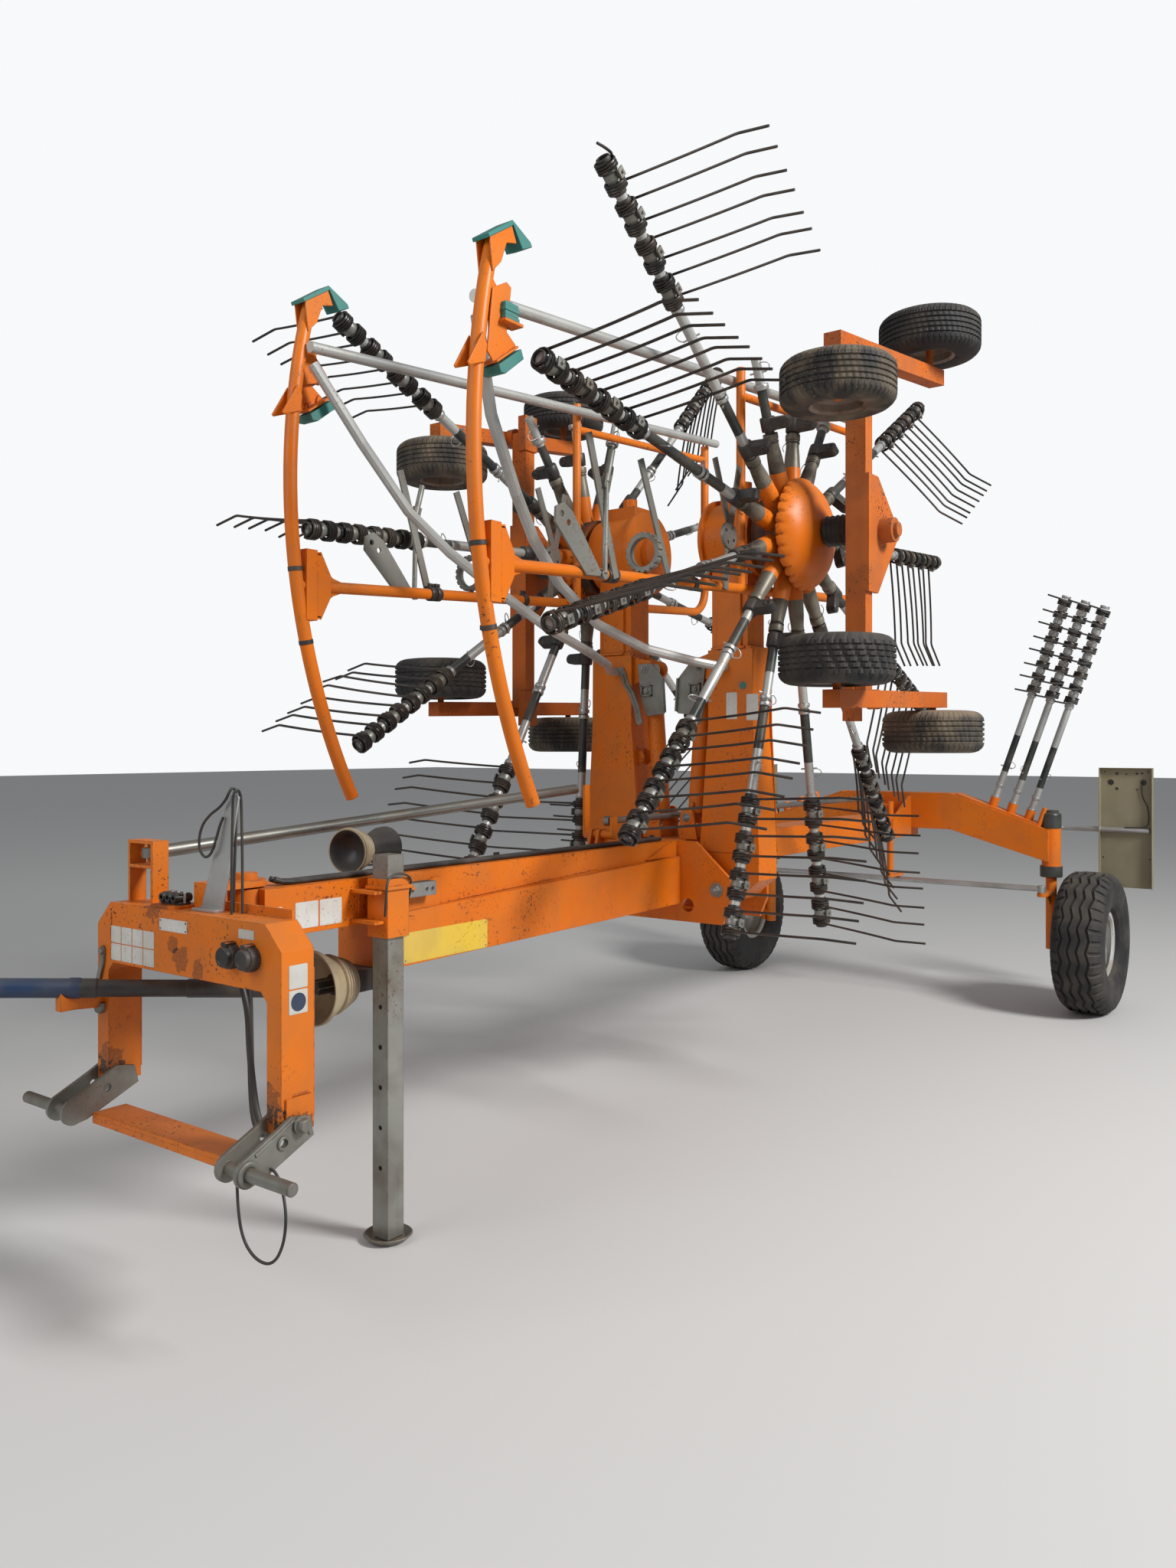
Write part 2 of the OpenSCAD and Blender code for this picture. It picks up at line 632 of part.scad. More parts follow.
module piston_rod() {
    color(zinc) at_ram() difference() {
        union() {
            translate([0, 0, 55]) cylinder(d = ram_rod_d, h = ram_len - 55);
            translate([0, 0, ram_len]) rotate([0, 90, 0]) cylinder(d = 56, h = 40, center = true);
        }
        translate([0, 0, ram_len]) rotate([0, 90, 0]) cylinder(d = 30, h = 100, center = true);
    }
}

module guard() {
    front = hoop_x(rail_z);
    turn_x = stand_back_x + rail_bend * (1 - sin(rail_a));
    turn = [turn_x + rail_bend * sin(rail_a), rail_at(turn_x) + rail_bend * cos(rail_a)];
    color(orange) {
        translate([hoop_c[0], hoop_y, hoop_c[1]]) rotate([90, 0, 0]) rotate([0, 0, hoop_a0])
            rotate_extrude(angle = hoop_a1 - hoop_a0) translate([hoop_r, 0]) circle(d = hoop_d);
        // rail from the guard tube back past the rotor head, bent up to the rear stand
        bar([turn_x, hoop_y, rail_at(turn_x)], [front - 9, hoop_y, rail_at(front - 9)], rail_d);
        translate([turn[0], hoop_y, turn[1]]) rotate([90, 0, 0]) rotate([0, 0, 180])
            rotate_extrude(angle = 90 - rail_a) translate([rail_bend, 0]) circle(d = rail_d);
        translate([stand_back_x, hoop_y, turn[1]]) cylinder(d = rail_d, h = stand_top_z - turn[1]);
        translate([stand_front_x, hoop_y, rail_at(stand_front_x)]) cylinder(d = rail_d - 4,
            h = 3250 - rail_at(stand_front_x));
        bar([stand_back_x, hoop_y, 3215], [stand_front_x, hoop_y, 3130], rail_d - 8);
        // plate that clamps the rail to the guard tube, bracket at the top, and seat on the rotor head
        block([front - 74, hoop_y - 27, 2065], [front - 22, hoop_y + 27, 2326]);
        xz(hoop_y + 8, hoop_y + 18) polygon([[hoop_x(3060) - 12, 3120], [hoop_x(3060) - 12, 2930],
            [hoop_x(3060) - 130, 2975], [hoop_x(3060) - 130, 3000]]);
        block([hoop_x(3060) - 130, hoop_y + 8, 2968], [hoop_x(3060) - 40, hoop_y + 58, 2978]);
        block([arm_x - 60, 410, rail_at(arm_x) - 30], [arm_x + 60, hoop_y, rail_at(arm_x) + 16]);
    }
}

// bars, levers and a crank bolted to the outer side of a guard's rail
module braces() {
    y0 = hoop_y + rail_d / 2 + fit;
    y1 = y0 + 8;
    // lower end and upper end of each flat bar, as a place and a height
    bars = [[[3928, rail_at(3928) - 14], [4096, 2719]], [[3560, rail_at(3560) - 14], [3766, 2688]],
        [[3128, rail_at(3128) - 14], [3102, 2494]], [[3102, 2480], [3010, 2806]], [[3080, 2500], [3216,
            2803]]];
    color(zinc) {
        for (b = bars) {
            n = unit([b[1][1] - b[0][1], b[0][0] - b[1][0]]) * 17;
            xz(y0, y1) polygon([b[0] - n, b[0] + n, b[1] + n, b[1] - n]);
        }
        difference() {
            round_y(116, y0 - 1 + fit, y1 + 4, 3102, 2494);
            for (k = [0 : 3]) round_y(16, y0 - 5, y1 + 9, 3102 + 36 * cos(k * 90 + 30),
                2494 + 36 * sin(k * 90 + 30));
        }
        // deflector plate with its slotted end
        difference() {
            xz(y0, y1) polygon([[4010, rail_at(4010) - 12], [4110, rail_at(4110) - 12], [4290, 2370],
                [4286, 2424], [4240, 2446],
                [4190, 2420]]);
            round_y(22, y0 - 5, y1 + 5, 4252, 2404);
            round_y(22, y0 - 5, y1 + 5, 4214, 2378);
        }
    }
    color(dark) {
        // crank on its post
        round_y(34, y0, y1 + 8, 4008, rail_at(4008) - 6);
        bar([4008, y1 + 4, rail_at(4008)], [3998, y1 + 4, 2560], 20);
        bar([3998, y1 + 4, 2558], [3962, y1 + 4, 2680], 24);
        xz(y1 - 4, y1 + 12) polygon([[3990, 2520], [4020, 2540], [4008, 2590], [3970, 2584]]);
    }
    // toothed ring standing on the rail
    color(zinc) translate([3690, hoop_y, rail_at(3690) + rail_d / 2 + fit + 78]) rotate([0, 90, 0])
        difference() {
        cylinder(d = 156, h = 26);
        translate([0, 0, -1]) cylinder(d = 112, h = 28);
        for (k = [0 : 17]) rotate([0, 0, k * 20 + 10]) translate([78, 0, -1]) cylinder(d = 12, h = 28);
    }
}

module pipes() {
    color(zinc) {
        bar([hoop_x(3060) - 5, pipe_y, 3060], [1710, pipe_y, 3310], pipe_d);
        tube_path([[hoop_x(3000) - 30, pipe_y, 3000], [4440, 320, 2730], [4250, 270, 2500], [4080, 215,
            2360], [3860, 160, 2230],
            [3570, 130, 2100], [3250, 150, 2020], [3000, 230, 1980],
            [arm_x + arm_depth / 2 + 60, 300, 1960], [arm_x + arm_depth / 2 + 6 + fit, 300, 1960]], pipe_d);
    }
}

module knuckle() {
    color(orange) {
        translate([0, kingpin_y, 360]) cylinder(d = 64, h = 434);
        translate([0, kingpin_y, 700]) cylinder(d = 44, h = 430);
        round_y(stub_d, kingpin_y, wheel_y + 60, 0, tyre_d / 2);
        round_y(116, kingpin_y + 34, kingpin_y + 50, 0, tyre_d / 2);
        // rib from the leg to the stub axle's flange
        yz(-8, 8) polygon([[kingpin_y + 20, 590], [kingpin_y + 48, tyre_d / 2 + 50], [kingpin_y + 48,
            tyre_d / 2 + 20],
            [kingpin_y + 20, tyre_d / 2 + 20]]);
        difference() {
            union() {
                block([0, kingpin_y - 28, tie_z - 42], [steer_arm, kingpin_y + 28, tie_z - 20]);
                translate([steer_arm, kingpin_y, tie_z - 42]) cylinder(d = 56, h = 22);
            }
            translate([steer_arm / 2, kingpin_y, 600]) cylinder(d = 26, h = 300);
        }
        xz(kingpin_y - 6, kingpin_y + 6) polygon([[0, tie_z - 41], [120, tie_z - 41], [0, tie_z - 130]]);
    }
}

module tyre() {
    r = tyre_d / 2;
    h = tyre_w / 2;
    b = rim_d / 2;
    groove = 12;
    color("#1c1c1d") translate([0, wheel_y, r]) rotate([90, 0, 0]) rotate_extrude()
        polygon(concat([[b, -h + 55], [b + 26, -h + 22], [b + 80, -h + 4], [r - 90, -h], [r - 34,
            -h + 16], [r - 10, -h + 48]],
            [for (k = [-1.5 : 1.5]) for (e = [[0, -7], [-groove, -4], [-groove, 4], [0, 7]])
                [r - 2 * pow(k, 2) + e[0], k * 50 + e[1]]],
            [[r - 10, h - 48], [r - 34, h - 16], [r - 90, h], [b + 80, h - 4], [b + 26, h - 22], [b,
                h - 55]]));
}

module rim() {
    h = tyre_w / 2 - 55;
    b = rim_d / 2;
    color("#c9c9c4") translate([0, wheel_y, tyre_d / 2]) rotate([90, 0, 0]) difference() {
        rotate_extrude() polygon([[stub_d / 2 + fit, -62], [48, -62], [60, -48], [78, -30], [105, -42],
            [b - 60, -34],
            [b - 34, -12], [b - 14, -12], [b - 14, -h + 20], [b - 34, -h + 14], [b - 28, -h], [b, -h],
                [b, h], [b - 28, h],
            [b - 34, h - 14], [b - 14, h - 20], [b - 14, 2], [b - 42, 2], [b - 68, -20], [105, -28], [78,
                -16], [62, 45],
            [stub_d / 2 + fit, 45]]);
        for (k = [0 : 5]) rotate([0, 0, k * 60 + 12]) translate([b - 68, 0, -60]) cylinder(d = 30, h = 90);
        translate([b - 22, 0, -h - 5]) cylinder(d = 12, h = 30);
    }
}

module tie_rod() {
    color(zinc) {
        round_y(34, -kingpin_y, kingpin_y, steer_arm, tie_z + 5);
        for (s = [-1, 1]) translate([steer_arm, s * kingpin_y, tie_z - 20 + fit]) cylinder(d = 46, h = 44);
    }
}

module rear_relay() {
    color(orange) {
        translate([rear_relay[0], rear_relay[1], 770]) cylinder(d = 40, h = 480);
        block([rear_relay[0] - 20, rear_relay[1] - rear_upper - 20, 1222], [rear_relay[0] + 20,
            rear_relay[1], 1237]);
        block([rear_relay[0] - rear_lower - 20, rear_relay[1] - 20, 770], [rear_relay[0],
            rear_relay[1] + 20, 785]);
    }
}

module relay_lever() {
    color(orange) {
        round_y(40, relay[1] - 10, 24, relay[0], relay[2]);
        block([relay[0] - 20, relay[1] - 10, relay[2]], [relay[0] + 20, relay[1],
            relay[2] + relay_long + 20]);
        block([relay[0] - 20, 12, relay[2]], [relay[0] + 20, 24, relay[2] + relay_short + 20]);
        round_y(16, rear_rod_y - 18, 13, relay[0], relay[2] + relay_short);
    }
}

module steering_rod_front() {
    color(zinc) {
        bar([bracket[0] - 20, bracket[1], bracket[2]], [relay[0], relay[1] - 10 - rod_d / 2 - rod_sway,
            relay[2] + relay_long], rod_d);
        difference() {
            translate([bracket[0], bracket[1], bracket[2] - 15]) cylinder(d = 52, h = 30);
            translate([bracket[0], bracket[1], 0]) cylinder(d = 20 + 2 * fit, h = 3000);
        }
    }
}

module steering_rod_rear() {
    z = relay[2] + relay_short;
    color(zinc) difference() {
        union() {
            bar([relay[0], rear_rod_y, z], [rear_relay[0] - 20, rear_rod_y, z], 30);
            round_y(44, rear_rod_y - 14, rear_rod_y + 14, relay[0], z);
        }
        round_y(16 + 2 * fit, -100, 100, relay[0], z);
    }
}

module headstock() {
    x1 = head_x + head_depth;
    c = 70;
    in = head_half - head_leg;
    low = head_top_z - head_plate_h;
    color(orange) {
        yz(head_x, x1) polygon([[-head_half, head_foot_z], [-head_half, head_top_z - c], [-head_half + c,
            head_top_z],
            [head_half - c, head_top_z], [head_half, head_top_z - c], [head_half, head_foot_z],
            [in, head_foot_z], [in, low - 26], [in - 26, low], [-in + 26, low], [-in, low - 26], [-in,
                head_foot_z]]);
        // seams of the bent plates
        for (s = [-1, 1]) on_side(s) {
            block([head_x - 6, in + 4, head_foot_z + 30], [head_x, head_half - 4, low + 60]);
            block([head_x + 12, head_half - 1, head_foot_z + 14], [x1 - 12, head_half + 7,
                head_foot_z + 96]);
        }
        for (z = [beam_z - 26, beam_top_z + 6]) block([swivel_x, -60, z], [head_x + 30, 60, z + 20]);
        for (z = [beam_z - 26, beam_top_z + 6]) translate([swivel_x, 0, z]) cylinder(d = 120, h = 20);
        for (z = [beam_z - 46, beam_top_z + 25]) translate([swivel_x, 0, z]) cylinder(d = 70, h = 21);
        block([head_x, -60, head_top_z - 5], [head_x + 30, 60, beam_top_z + 10]);
        translate([swivel_x, 0, beam_z - 20]) cylinder(d = swivel_pin_d, h = beam_h + 40);
        // lip along the back of the top, and a tray beside the hose holder
        block([head_x, 62, head_top_z - 1], [head_x + 10, head_half - c - 10, head_top_z + 26]);
        block([head_x, -180, head_top_z - 1], [x1 - 14, -60, head_top_z + 9]);
        // bracket of the steering rod
        for (y = [bracket[1] - 65, bracket[1] + 55]) block([head_x, y, head_top_z - 5], [head_x + 56,
            y + 10, 1310]);
        block([head_x, bracket[1] - 65, 1300], [head_x + 56, bracket[1] + 65, 1310]);
        block([head_x, bracket[1] - 65, 1225], [head_x + 56, bracket[1] + 65, 1235]);
        translate([bracket[0], bracket[1], 1230]) cylinder(d = 20, h = 75);
        difference() {
            block([x1 - 1, -head_half + 5, 800], [5560, -head_half + 35, 855]);
            bar(shaft_start, shaft_end, shaft_tube_d + 2 * fit);
        }
        xz(-head_half + 12, -head_half + 28) polygon([[x1 - 1, 790], [x1 - 1, 801], [5540, 801]]);
    }
    color(dark) for (p = sockets) {
        round_x(66, x1 - 1, x1 + 26, p[0], p[1]);
        round_x(54, x1 + 25, x1 + 40, p[0], p[1]);
        block([x1 - 1, p[0] - 10, p[1] + 28], [x1 + 34, p[0] + 10, p[1] + 40]);
    }
}

// leaning blade that the hoses hang over
module blade() {
    foot_z = head_top_z + fit;
    color(zinc) yz(blade_x, blade_x + 6) polygon([[-12, foot_z], [95, foot_z], [112, 1200], [150, 1380],
        [168, 1455],
        [152, 1466],
        [122, 1455], [70, 1330], [20, 1200]]);
    color(zinc) block([blade_x + 5, -12, foot_z], [blade_x + 36, 95, foot_z + 8]);
}

module link_arms() {
    pin = [5540, 500];
    y0 = head_half - head_leg - 12;
    color(zinc) for (s = [-1, 1]) on_side(s) {
        for (y = [y0, head_half + 7.5]) difference() {
            union() {
                xz(y, y + 12) polygon([[5326, 546], [5338, 600], [5400, 612], [5440, 590], [5560, 533],
                    [5572, 515],
                    [5572, 485], [5560, 472], [5525, 465], [5496, 470]]);
                round_y(76, y, y + 12, pin[0], pin[1]);
            }
            round_y(24, y - 1, y + 13, 5430, 550);
        }
        round_y(link_pin_d, y0, head_half + 195, pin[0], pin[1]);
        round_y(34, head_half + 19, head_half + 30, 5372, 585);
    }
    color(orange) {
        block([5370, -y0, 474], [5480, y0, 486]);
        for (x = [5370, 5468]) block([x, -y0, 455], [x + 12, y0, 475]);
    }
}

module portal_hose(route) {
    color(dark) tube_path(route, hose_d, 10, [0, 1, 0]);
}

module thin_cord(route) {
    color(dark) tube_path(route, 8, 8, [1, 0, 0]);
}

module stand_leg() {
    top_z = 1250;
    color(dark) {
        difference() {
            translate([stand_x - stand_side / 2, stand_y - stand_side / 2, 14]) cube([stand_side,
                stand_side, top_z - 14]);
            for (z = [240 : 130 : 760]) round_x(16, stand_x - 60, stand_x + 60, stand_y, z);
        }
        translate([stand_x, stand_y, 0]) rotate_extrude() polygon([[0, 0], [foot_d / 2 - 22, 0],
            [foot_d / 2, 20],
            [foot_d / 2 - 4, 24], [foot_d / 2 - 25, 8], [0, 15]]);
    }
}

module pto_shaft() {
    len = norm(shaft_end - shaft_start);
    fork = 120;
    color(dark) translate(shaft_start) rotate([0, acos(shaft_run[2]), atan2(shaft_run[1], shaft_run[0])]) {
        cylinder(d = shaft_tube_d, h = len - fork - 60);
        translate([0, 0, len - fork - 160]) cylinder(d1 = shaft_tube_d + 4, d2 = 96, h = 110);
        translate([0, 0, len - fork - 61]) cylinder(d = 46, h = 40);
        for (y = [-27, 15]) translate([-17, y, len - fork - 30]) cube([34, 12, fork - 30]);
        rotate([90, 0, 0]) translate([0, len - fork + 20, 0]) cylinder(d = 22, h = 56, center = true);
        translate([0, 0, len - fork + 20]) rotate([0, 90, 0]) cylinder(d = 22, h = 56, center = true);
        difference() {
            translate([0, 0, len - fork + 45]) cylinder(d = shaft_tube_d, h = fork - 45);
            translate([0, 0, len - 55]) cylinder(d = 35, h = 60);
        }
    }
}

module pto_guard() {
    color("#b9a982") translate([4800, 0, 820]) rotate([0, 90, 0]) difference() {
        rotate_extrude() polygon([[0, 0], [62, 0], [75, 14], [70, 26], [84, 38], [78, 50], [96, 64], [90,
            76], [120, 130],
            [122, 150], [116, 150], [112, 130], [80, 76], [0, 40]]);
    }
    color(dark) {
        block([box_front_x, -60, 790], [4801, 60, box_z]);
        translate([4800, 0, 820]) rotate([0, 90, 0]) translate([0, 0, 39]) cylinder(d = 50, h = 100);
    }
    // worn guard laid on the beam
    color("#b9a982") translate([4690, -52, beam_top_z + 77 + fit]) rotate([0, 90, 12]) rotate_extrude()
        polygon([[0, 0], [52, 0], [60, 10], [54, 20], [64, 30], [58, 40], [70, 52], [64, 64], [77, 78],
            [0, 78]]);
}

module spare_arms() {
    color(dark) for (y = spare_places) translate([0, y, slope_z(y)]) rotate([-slope_a, 0, 0])
        translate([0, 0, 12 + fit]) rotate([0, -90, 0]) translate([-sleeve_r, 0, 0]) tine_arm(sleeve_r, 0);
}

module lamp_boards() {
    y0 = 1140;
    y1 = 1450;
    sheet = 4;
    flange = 42;
    x = board_x + 28;
    color("#8f8768") for (s = [-1, 1]) on_side(s) difference() {
        union() {
            translate([0, 0, 715]) linear_extrude(750) polygon([[x, y0], [x + flange, y0], [x + flange,
                y0 + sheet],
                [x + sheet, y0 + sheet], [x + sheet, y1 - sheet], [x + flange, y1 - sheet], [x + flange,
                    y1], [x, y1]]);
            block([x, y0, 1461], [x + flange - 12, y1, 1465]);
        }
        for (y = [y0 + 70, y1 - 62]) round_x(24, x - 10, x + 10, y, 1400);
    }
    // rear lamps
    color("#7a1512") for (s = [-1, 1]) on_side(s) {
        block([board_x, y0 + 80, 1160], [x, y1 - 60, 1260]);
        block([x - 8, y0 + 60, 850], [x, y1 - 60, 930]);
    }
    color(zinc) for (s = [-1, 1]) on_side(s) {
        tube_path([[-axle_depth / 2, 900, 1075], [x + 30, 900, 1075], [x + 14, 912, 1075], [x + 14,
            y1 - 20, 1075]], 34);
        block([-axle_depth / 2 - 10, 870, 1040], [-axle_depth / 2, 930, 1110]);
    }
}

place() main_beam();
place() pivot_frame();
place() axle_beam();
place() spare_arms();
place() lamp_boards();
place() pto_guard();
place() stand_leg();
place() headstock();
place() link_arms();
place() pto_shaft();
place() blade();
place() beam_hoses();
place() portal_hose(portal_route_1);  // portal_hose_1
place() portal_hose(portal_route_2);  // portal_hose_2
place() thin_cord(blade_route_1);  // blade_cord_1
place() thin_cord(blade_route_2);  // blade_cord_2
place() thin_cord(pin_route);  // pin_cord
place() braces();  // braces_left
place() on_side(-1) braces();  // braces_right
place() steering_rod_front();
place() relay_lever();
place() steering_rod_rear();
place() rear_relay();
place() tie_rod();
place() knuckle();  // knuckle_left
place() on_side(-1) knuckle();  // knuckle_right
place() rim();  // rim_left
place() on_side(-1) rim();  // rim_right
place() tyre();  // tyre_left
place() on_side(-1) tyre();  // tyre_right
place() lift_arm();  // lift_arm_left
place() on_side(-1) lift_arm();  // lift_arm_right
place() rotor_head();  // rotor_head_left
place() on_side(-1) rotor_head();  // rotor_head_right
place() undercarriage();  // undercarriage_left
place() on_side(-1) undercarriage();  // undercarriage_right
place() bellows();  // bellows_left
place() on_side(-1) bellows();  // bellows_right
place() guard();  // guard_left
place() on_side(-1) guard();  // guard_right
place() pipes();  // pipes_left
place() on_side(-1) pipes();  // pipes_right
place() cylinder_barrel();  // cylinder_left
place() on_side(-1) cylinder_barrel();  // cylinder_right
place() piston_rod();  // piston_rod_left
place() on_side(-1) piston_rod();  // piston_rod_right
place() hub(left_phase);  // hub_left
place() on_side(-1) hub(right_phase);  // hub_right
place() tine_arms(left_arms, left_phase);  // tine_arms_left
place() on_side(-1) tine_arms(right_arms, right_phase);  // tine_arms_right
place() small_wheel(0);  // wheel_left_1
place() small_wheel(1);  // wheel_left_2
place() small_wheel(2);  // wheel_left_3
place() small_wheel(3);  // wheel_left_4
place() on_side(-1) small_wheel(0);  // wheel_right_1
place() on_side(-1) small_wheel(1);  // wheel_right_2
place() on_side(-1) small_wheel(2);  // wheel_right_3
place() on_side(-1) small_wheel(3);  // wheel_right_4
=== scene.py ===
import json
import math
import random

import bmesh
import bpy
from mathutils import Matrix, Vector


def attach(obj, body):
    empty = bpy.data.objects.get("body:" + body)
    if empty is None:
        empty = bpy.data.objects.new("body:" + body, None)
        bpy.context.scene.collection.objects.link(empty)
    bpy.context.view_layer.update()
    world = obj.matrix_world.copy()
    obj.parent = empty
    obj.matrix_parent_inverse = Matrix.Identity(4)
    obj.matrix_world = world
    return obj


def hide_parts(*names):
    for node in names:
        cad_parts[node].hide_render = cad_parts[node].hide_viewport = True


# Looks of a twin-rotor hay rake that stands folded on its parking stand.
# Metres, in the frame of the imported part. Places are written from the middle of the rear axle.
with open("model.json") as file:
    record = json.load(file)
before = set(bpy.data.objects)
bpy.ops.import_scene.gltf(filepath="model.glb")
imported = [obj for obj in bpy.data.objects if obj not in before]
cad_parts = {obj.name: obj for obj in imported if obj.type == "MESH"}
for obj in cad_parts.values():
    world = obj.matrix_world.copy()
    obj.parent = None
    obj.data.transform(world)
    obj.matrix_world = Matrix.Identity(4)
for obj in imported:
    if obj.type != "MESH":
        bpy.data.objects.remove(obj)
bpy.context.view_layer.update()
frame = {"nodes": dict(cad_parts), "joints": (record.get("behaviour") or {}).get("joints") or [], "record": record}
nodes = frame["nodes"]
joints = {j["name"]: j for j in frame["joints"]}
axleX = joints["wheel_left_spin"]["pos_m"][0]
sides = {"left": 1, "right": -1}


def at(x, y, z):
    return Vector((x + axleX, y, z))


# camera
camera = {
    "place": (7.405, 2.95, 1.6),
    "heading": 36.8,  # degrees from straight back towards the right side
    "lens": 26.65,
    "shift": -0.024,
}

cameraData = bpy.data.cameras.new("photoCamera")
cameraData.lens = camera["lens"]
cameraData.sensor_width = 36
cameraData.shift_y = camera["shift"]
cameraData.clip_end = 200
cameraObject = bpy.data.objects.new("photoCamera", cameraData)
bpy.context.scene.collection.objects.link(cameraObject)
cameraObject.location = at(*camera["place"])
cameraObject.rotation_euler = (math.radians(90), 0, math.radians(90 + camera["heading"]))
bpy.context.scene.camera = cameraObject
bpy.context.scene.view_settings.view_transform = "Standard"
print("camera set")


# shader helpers
def newGroup(name, inputs, outputs, kind="ShaderNodeTree"):
    tree = bpy.data.node_groups.new(name, kind)
    for label, socketKind, value in inputs:
        socket = tree.interface.new_socket(name=label, in_out="INPUT", socket_type=socketKind)
        if value is not None:
            socket.default_value = value
    for label, socketKind in outputs:
        tree.interface.new_socket(name=label, in_out="OUTPUT", socket_type=socketKind)
    return tree, tree.nodes.new("NodeGroupInput"), tree.nodes.new("NodeGroupOutput")


def addNode(tree, kind, values=None, **links):
    # values set the node's own settings and its sockets, links join its sockets to others
    node = tree.nodes.new(kind)
    for key, value in (values or {}).items():
        if hasattr(node, key) and key not in node.inputs:
            setattr(node, key, value)
        else:
            node.inputs[key].default_value = value
    for key, source in links.items():
        tree.links.new(source, node.inputs[key])
    return node


def noiseMask(tree, vector, scale, low, high, detail=4.0, stretch=(1, 1, 1)):
    # noise pushed to a mask between 0 and 1; stretch draws it out along an axis
    mapped = addNode(tree, "ShaderNodeMapping", {"Scale": stretch}, Vector=vector)
    noise = addNode(tree, "ShaderNodeTexNoise", {"Detail": detail}, Vector=mapped.outputs["Vector"])
    if isinstance(scale, float):
        noise.inputs["Scale"].default_value = scale
    else:
        tree.links.new(scale, noise.inputs["Scale"])
    ramp = addNode(tree, "ShaderNodeMapRange", {"From Min": low, "From Max": high}, Value=noise.outputs["Fac"])
    return ramp.outputs["Result"], noise.outputs["Fac"]


def timesNode(tree, a, b):
    node = tree.nodes.new("ShaderNodeMath")
    node.operation = "MULTIPLY"
    node.use_clamp = True
    tree.links.new(a, node.inputs[0])
    tree.links.new(b, node.inputs[1])
    return node.outputs[0]


def plusNode(tree, a, b, factor=1.0):
    node = tree.nodes.new("ShaderNodeMath")
    node.operation = "MULTIPLY_ADD"
    tree.links.new(a, node.inputs[0])
    node.inputs[1].default_value = factor
    tree.links.new(b, node.inputs[2])
    return node.outputs[0]


def fieldWearGroup():
    # sun-faded patches, dust that settles on tops, rain streaks, rust spots and a fine surface height
    tree, inside, outside = newGroup(
        "fieldWear",
        [("Vector", "NodeSocketVector", None), ("Dust", "NodeSocketFloat", 0.5),
         ("Rust", "NodeSocketFloat", 0.3), ("Grain", "NodeSocketFloat", 160.0)],
        [("Faded", "NodeSocketFloat"), ("Dusty", "NodeSocketFloat"), ("Rusty", "NodeSocketFloat"),
         ("Height", "NodeSocketFloat")])
    vector = inside.outputs["Vector"]
    faded, _ = noiseMask(tree, vector, 1.7, 0.36, 0.68)
    patches, _ = noiseMask(tree, vector, 7.0, 0.42, 0.7, 6.0)
    streaks, _ = noiseMask(tree, vector, 26.0, 0.52, 0.75, 5.0, (1, 1, 0.05))
    normal = tree.nodes.new("ShaderNodeNewGeometry")
    split = addNode(tree, "ShaderNodeSeparateXYZ", Vector=normal.outputs["Normal"])
    upward = addNode(tree, "ShaderNodeMapRange", {"From Min": 0.3, "From Max": 1.0}, Value=split.outputs["Z"])
    settled = plusNode(tree, upward.outputs["Result"], patches, 0.8)
    settled = plusNode(tree, streaks, settled, 0.35)
    dusty = timesNode(tree, settled, inside.outputs["Dust"])
    specks, _ = noiseMask(tree, vector, 95.0, 0.6, 0.66, 8.0)
    areas, _ = noiseMask(tree, vector, 3.1, 0.48, 0.64, 4.0)
    rusty = timesNode(tree, timesNode(tree, specks, areas), inside.outputs["Rust"])
    _, grain = noiseMask(tree, vector, inside.outputs["Grain"], 0.0, 1.0, 3.0)
    height = plusNode(tree, grain, dusty, 0.35)
    for label, mask in (("Faded", faded), ("Dusty", dusty), ("Rusty", rusty), ("Height", height)):
        tree.links.new(mask, outside.inputs[label])
    return tree


def edgeWearGroup():
    # rounded edge normals, and a mask of the chipped paint along those edges
    tree, inside, outside = newGroup(
        "edgeWear",
        [("Vector", "NodeSocketVector", None), ("Radius", "NodeSocketFloat", 0.004),
         ("Chips", "NodeSocketFloat", 0.5)],
        [("Normal", "NodeSocketVector"), ("Chipped", "NodeSocketFloat")])
    rounded = addNode(tree, "ShaderNodeBevel", {"samples": 4}, Radius=inside.outputs["Radius"])
    flat = tree.nodes.new("ShaderNodeNewGeometry")
    match = tree.nodes.new("ShaderNodeVectorMath")
    match.operation = "DOT_PRODUCT"
    tree.links.new(rounded.outputs["Normal"], match.inputs[0])
    tree.links.new(flat.outputs["Normal"], match.inputs[1])
    edge = addNode(tree, "ShaderNodeMapRange", {"From Min": 0.985, "From Max": 0.9}, Value=match.outputs["Value"])
    patches, _ = noiseMask(tree, inside.outputs["Vector"], 34.0, 0.5, 0.62, 6.0)
    chipped = timesNode(tree, timesNode(tree, edge.outputs["Result"], patches), inside.outputs["Chips"])
    tree.links.new(rounded.outputs["Normal"], outside.inputs["Normal"])
    tree.links.new(chipped, outside.inputs["Chipped"])
    return tree


fieldWear = fieldWearGroup()
edgeWear = edgeWearGroup()


def mixColour(tree, first, second, factor):
    node = tree.nodes.new("ShaderNodeMix")
    node.data_type = "RGBA"
    for socket, colour in (("A", first), ("B", second)):
        if isinstance(colour, tuple):
            node.inputs[socket].default_value = (*colour, 1)
        else:
            tree.links.new(colour, node.inputs[socket])
    tree.links.new(factor, node.inputs["Factor"])
    return node.outputs["Result"]


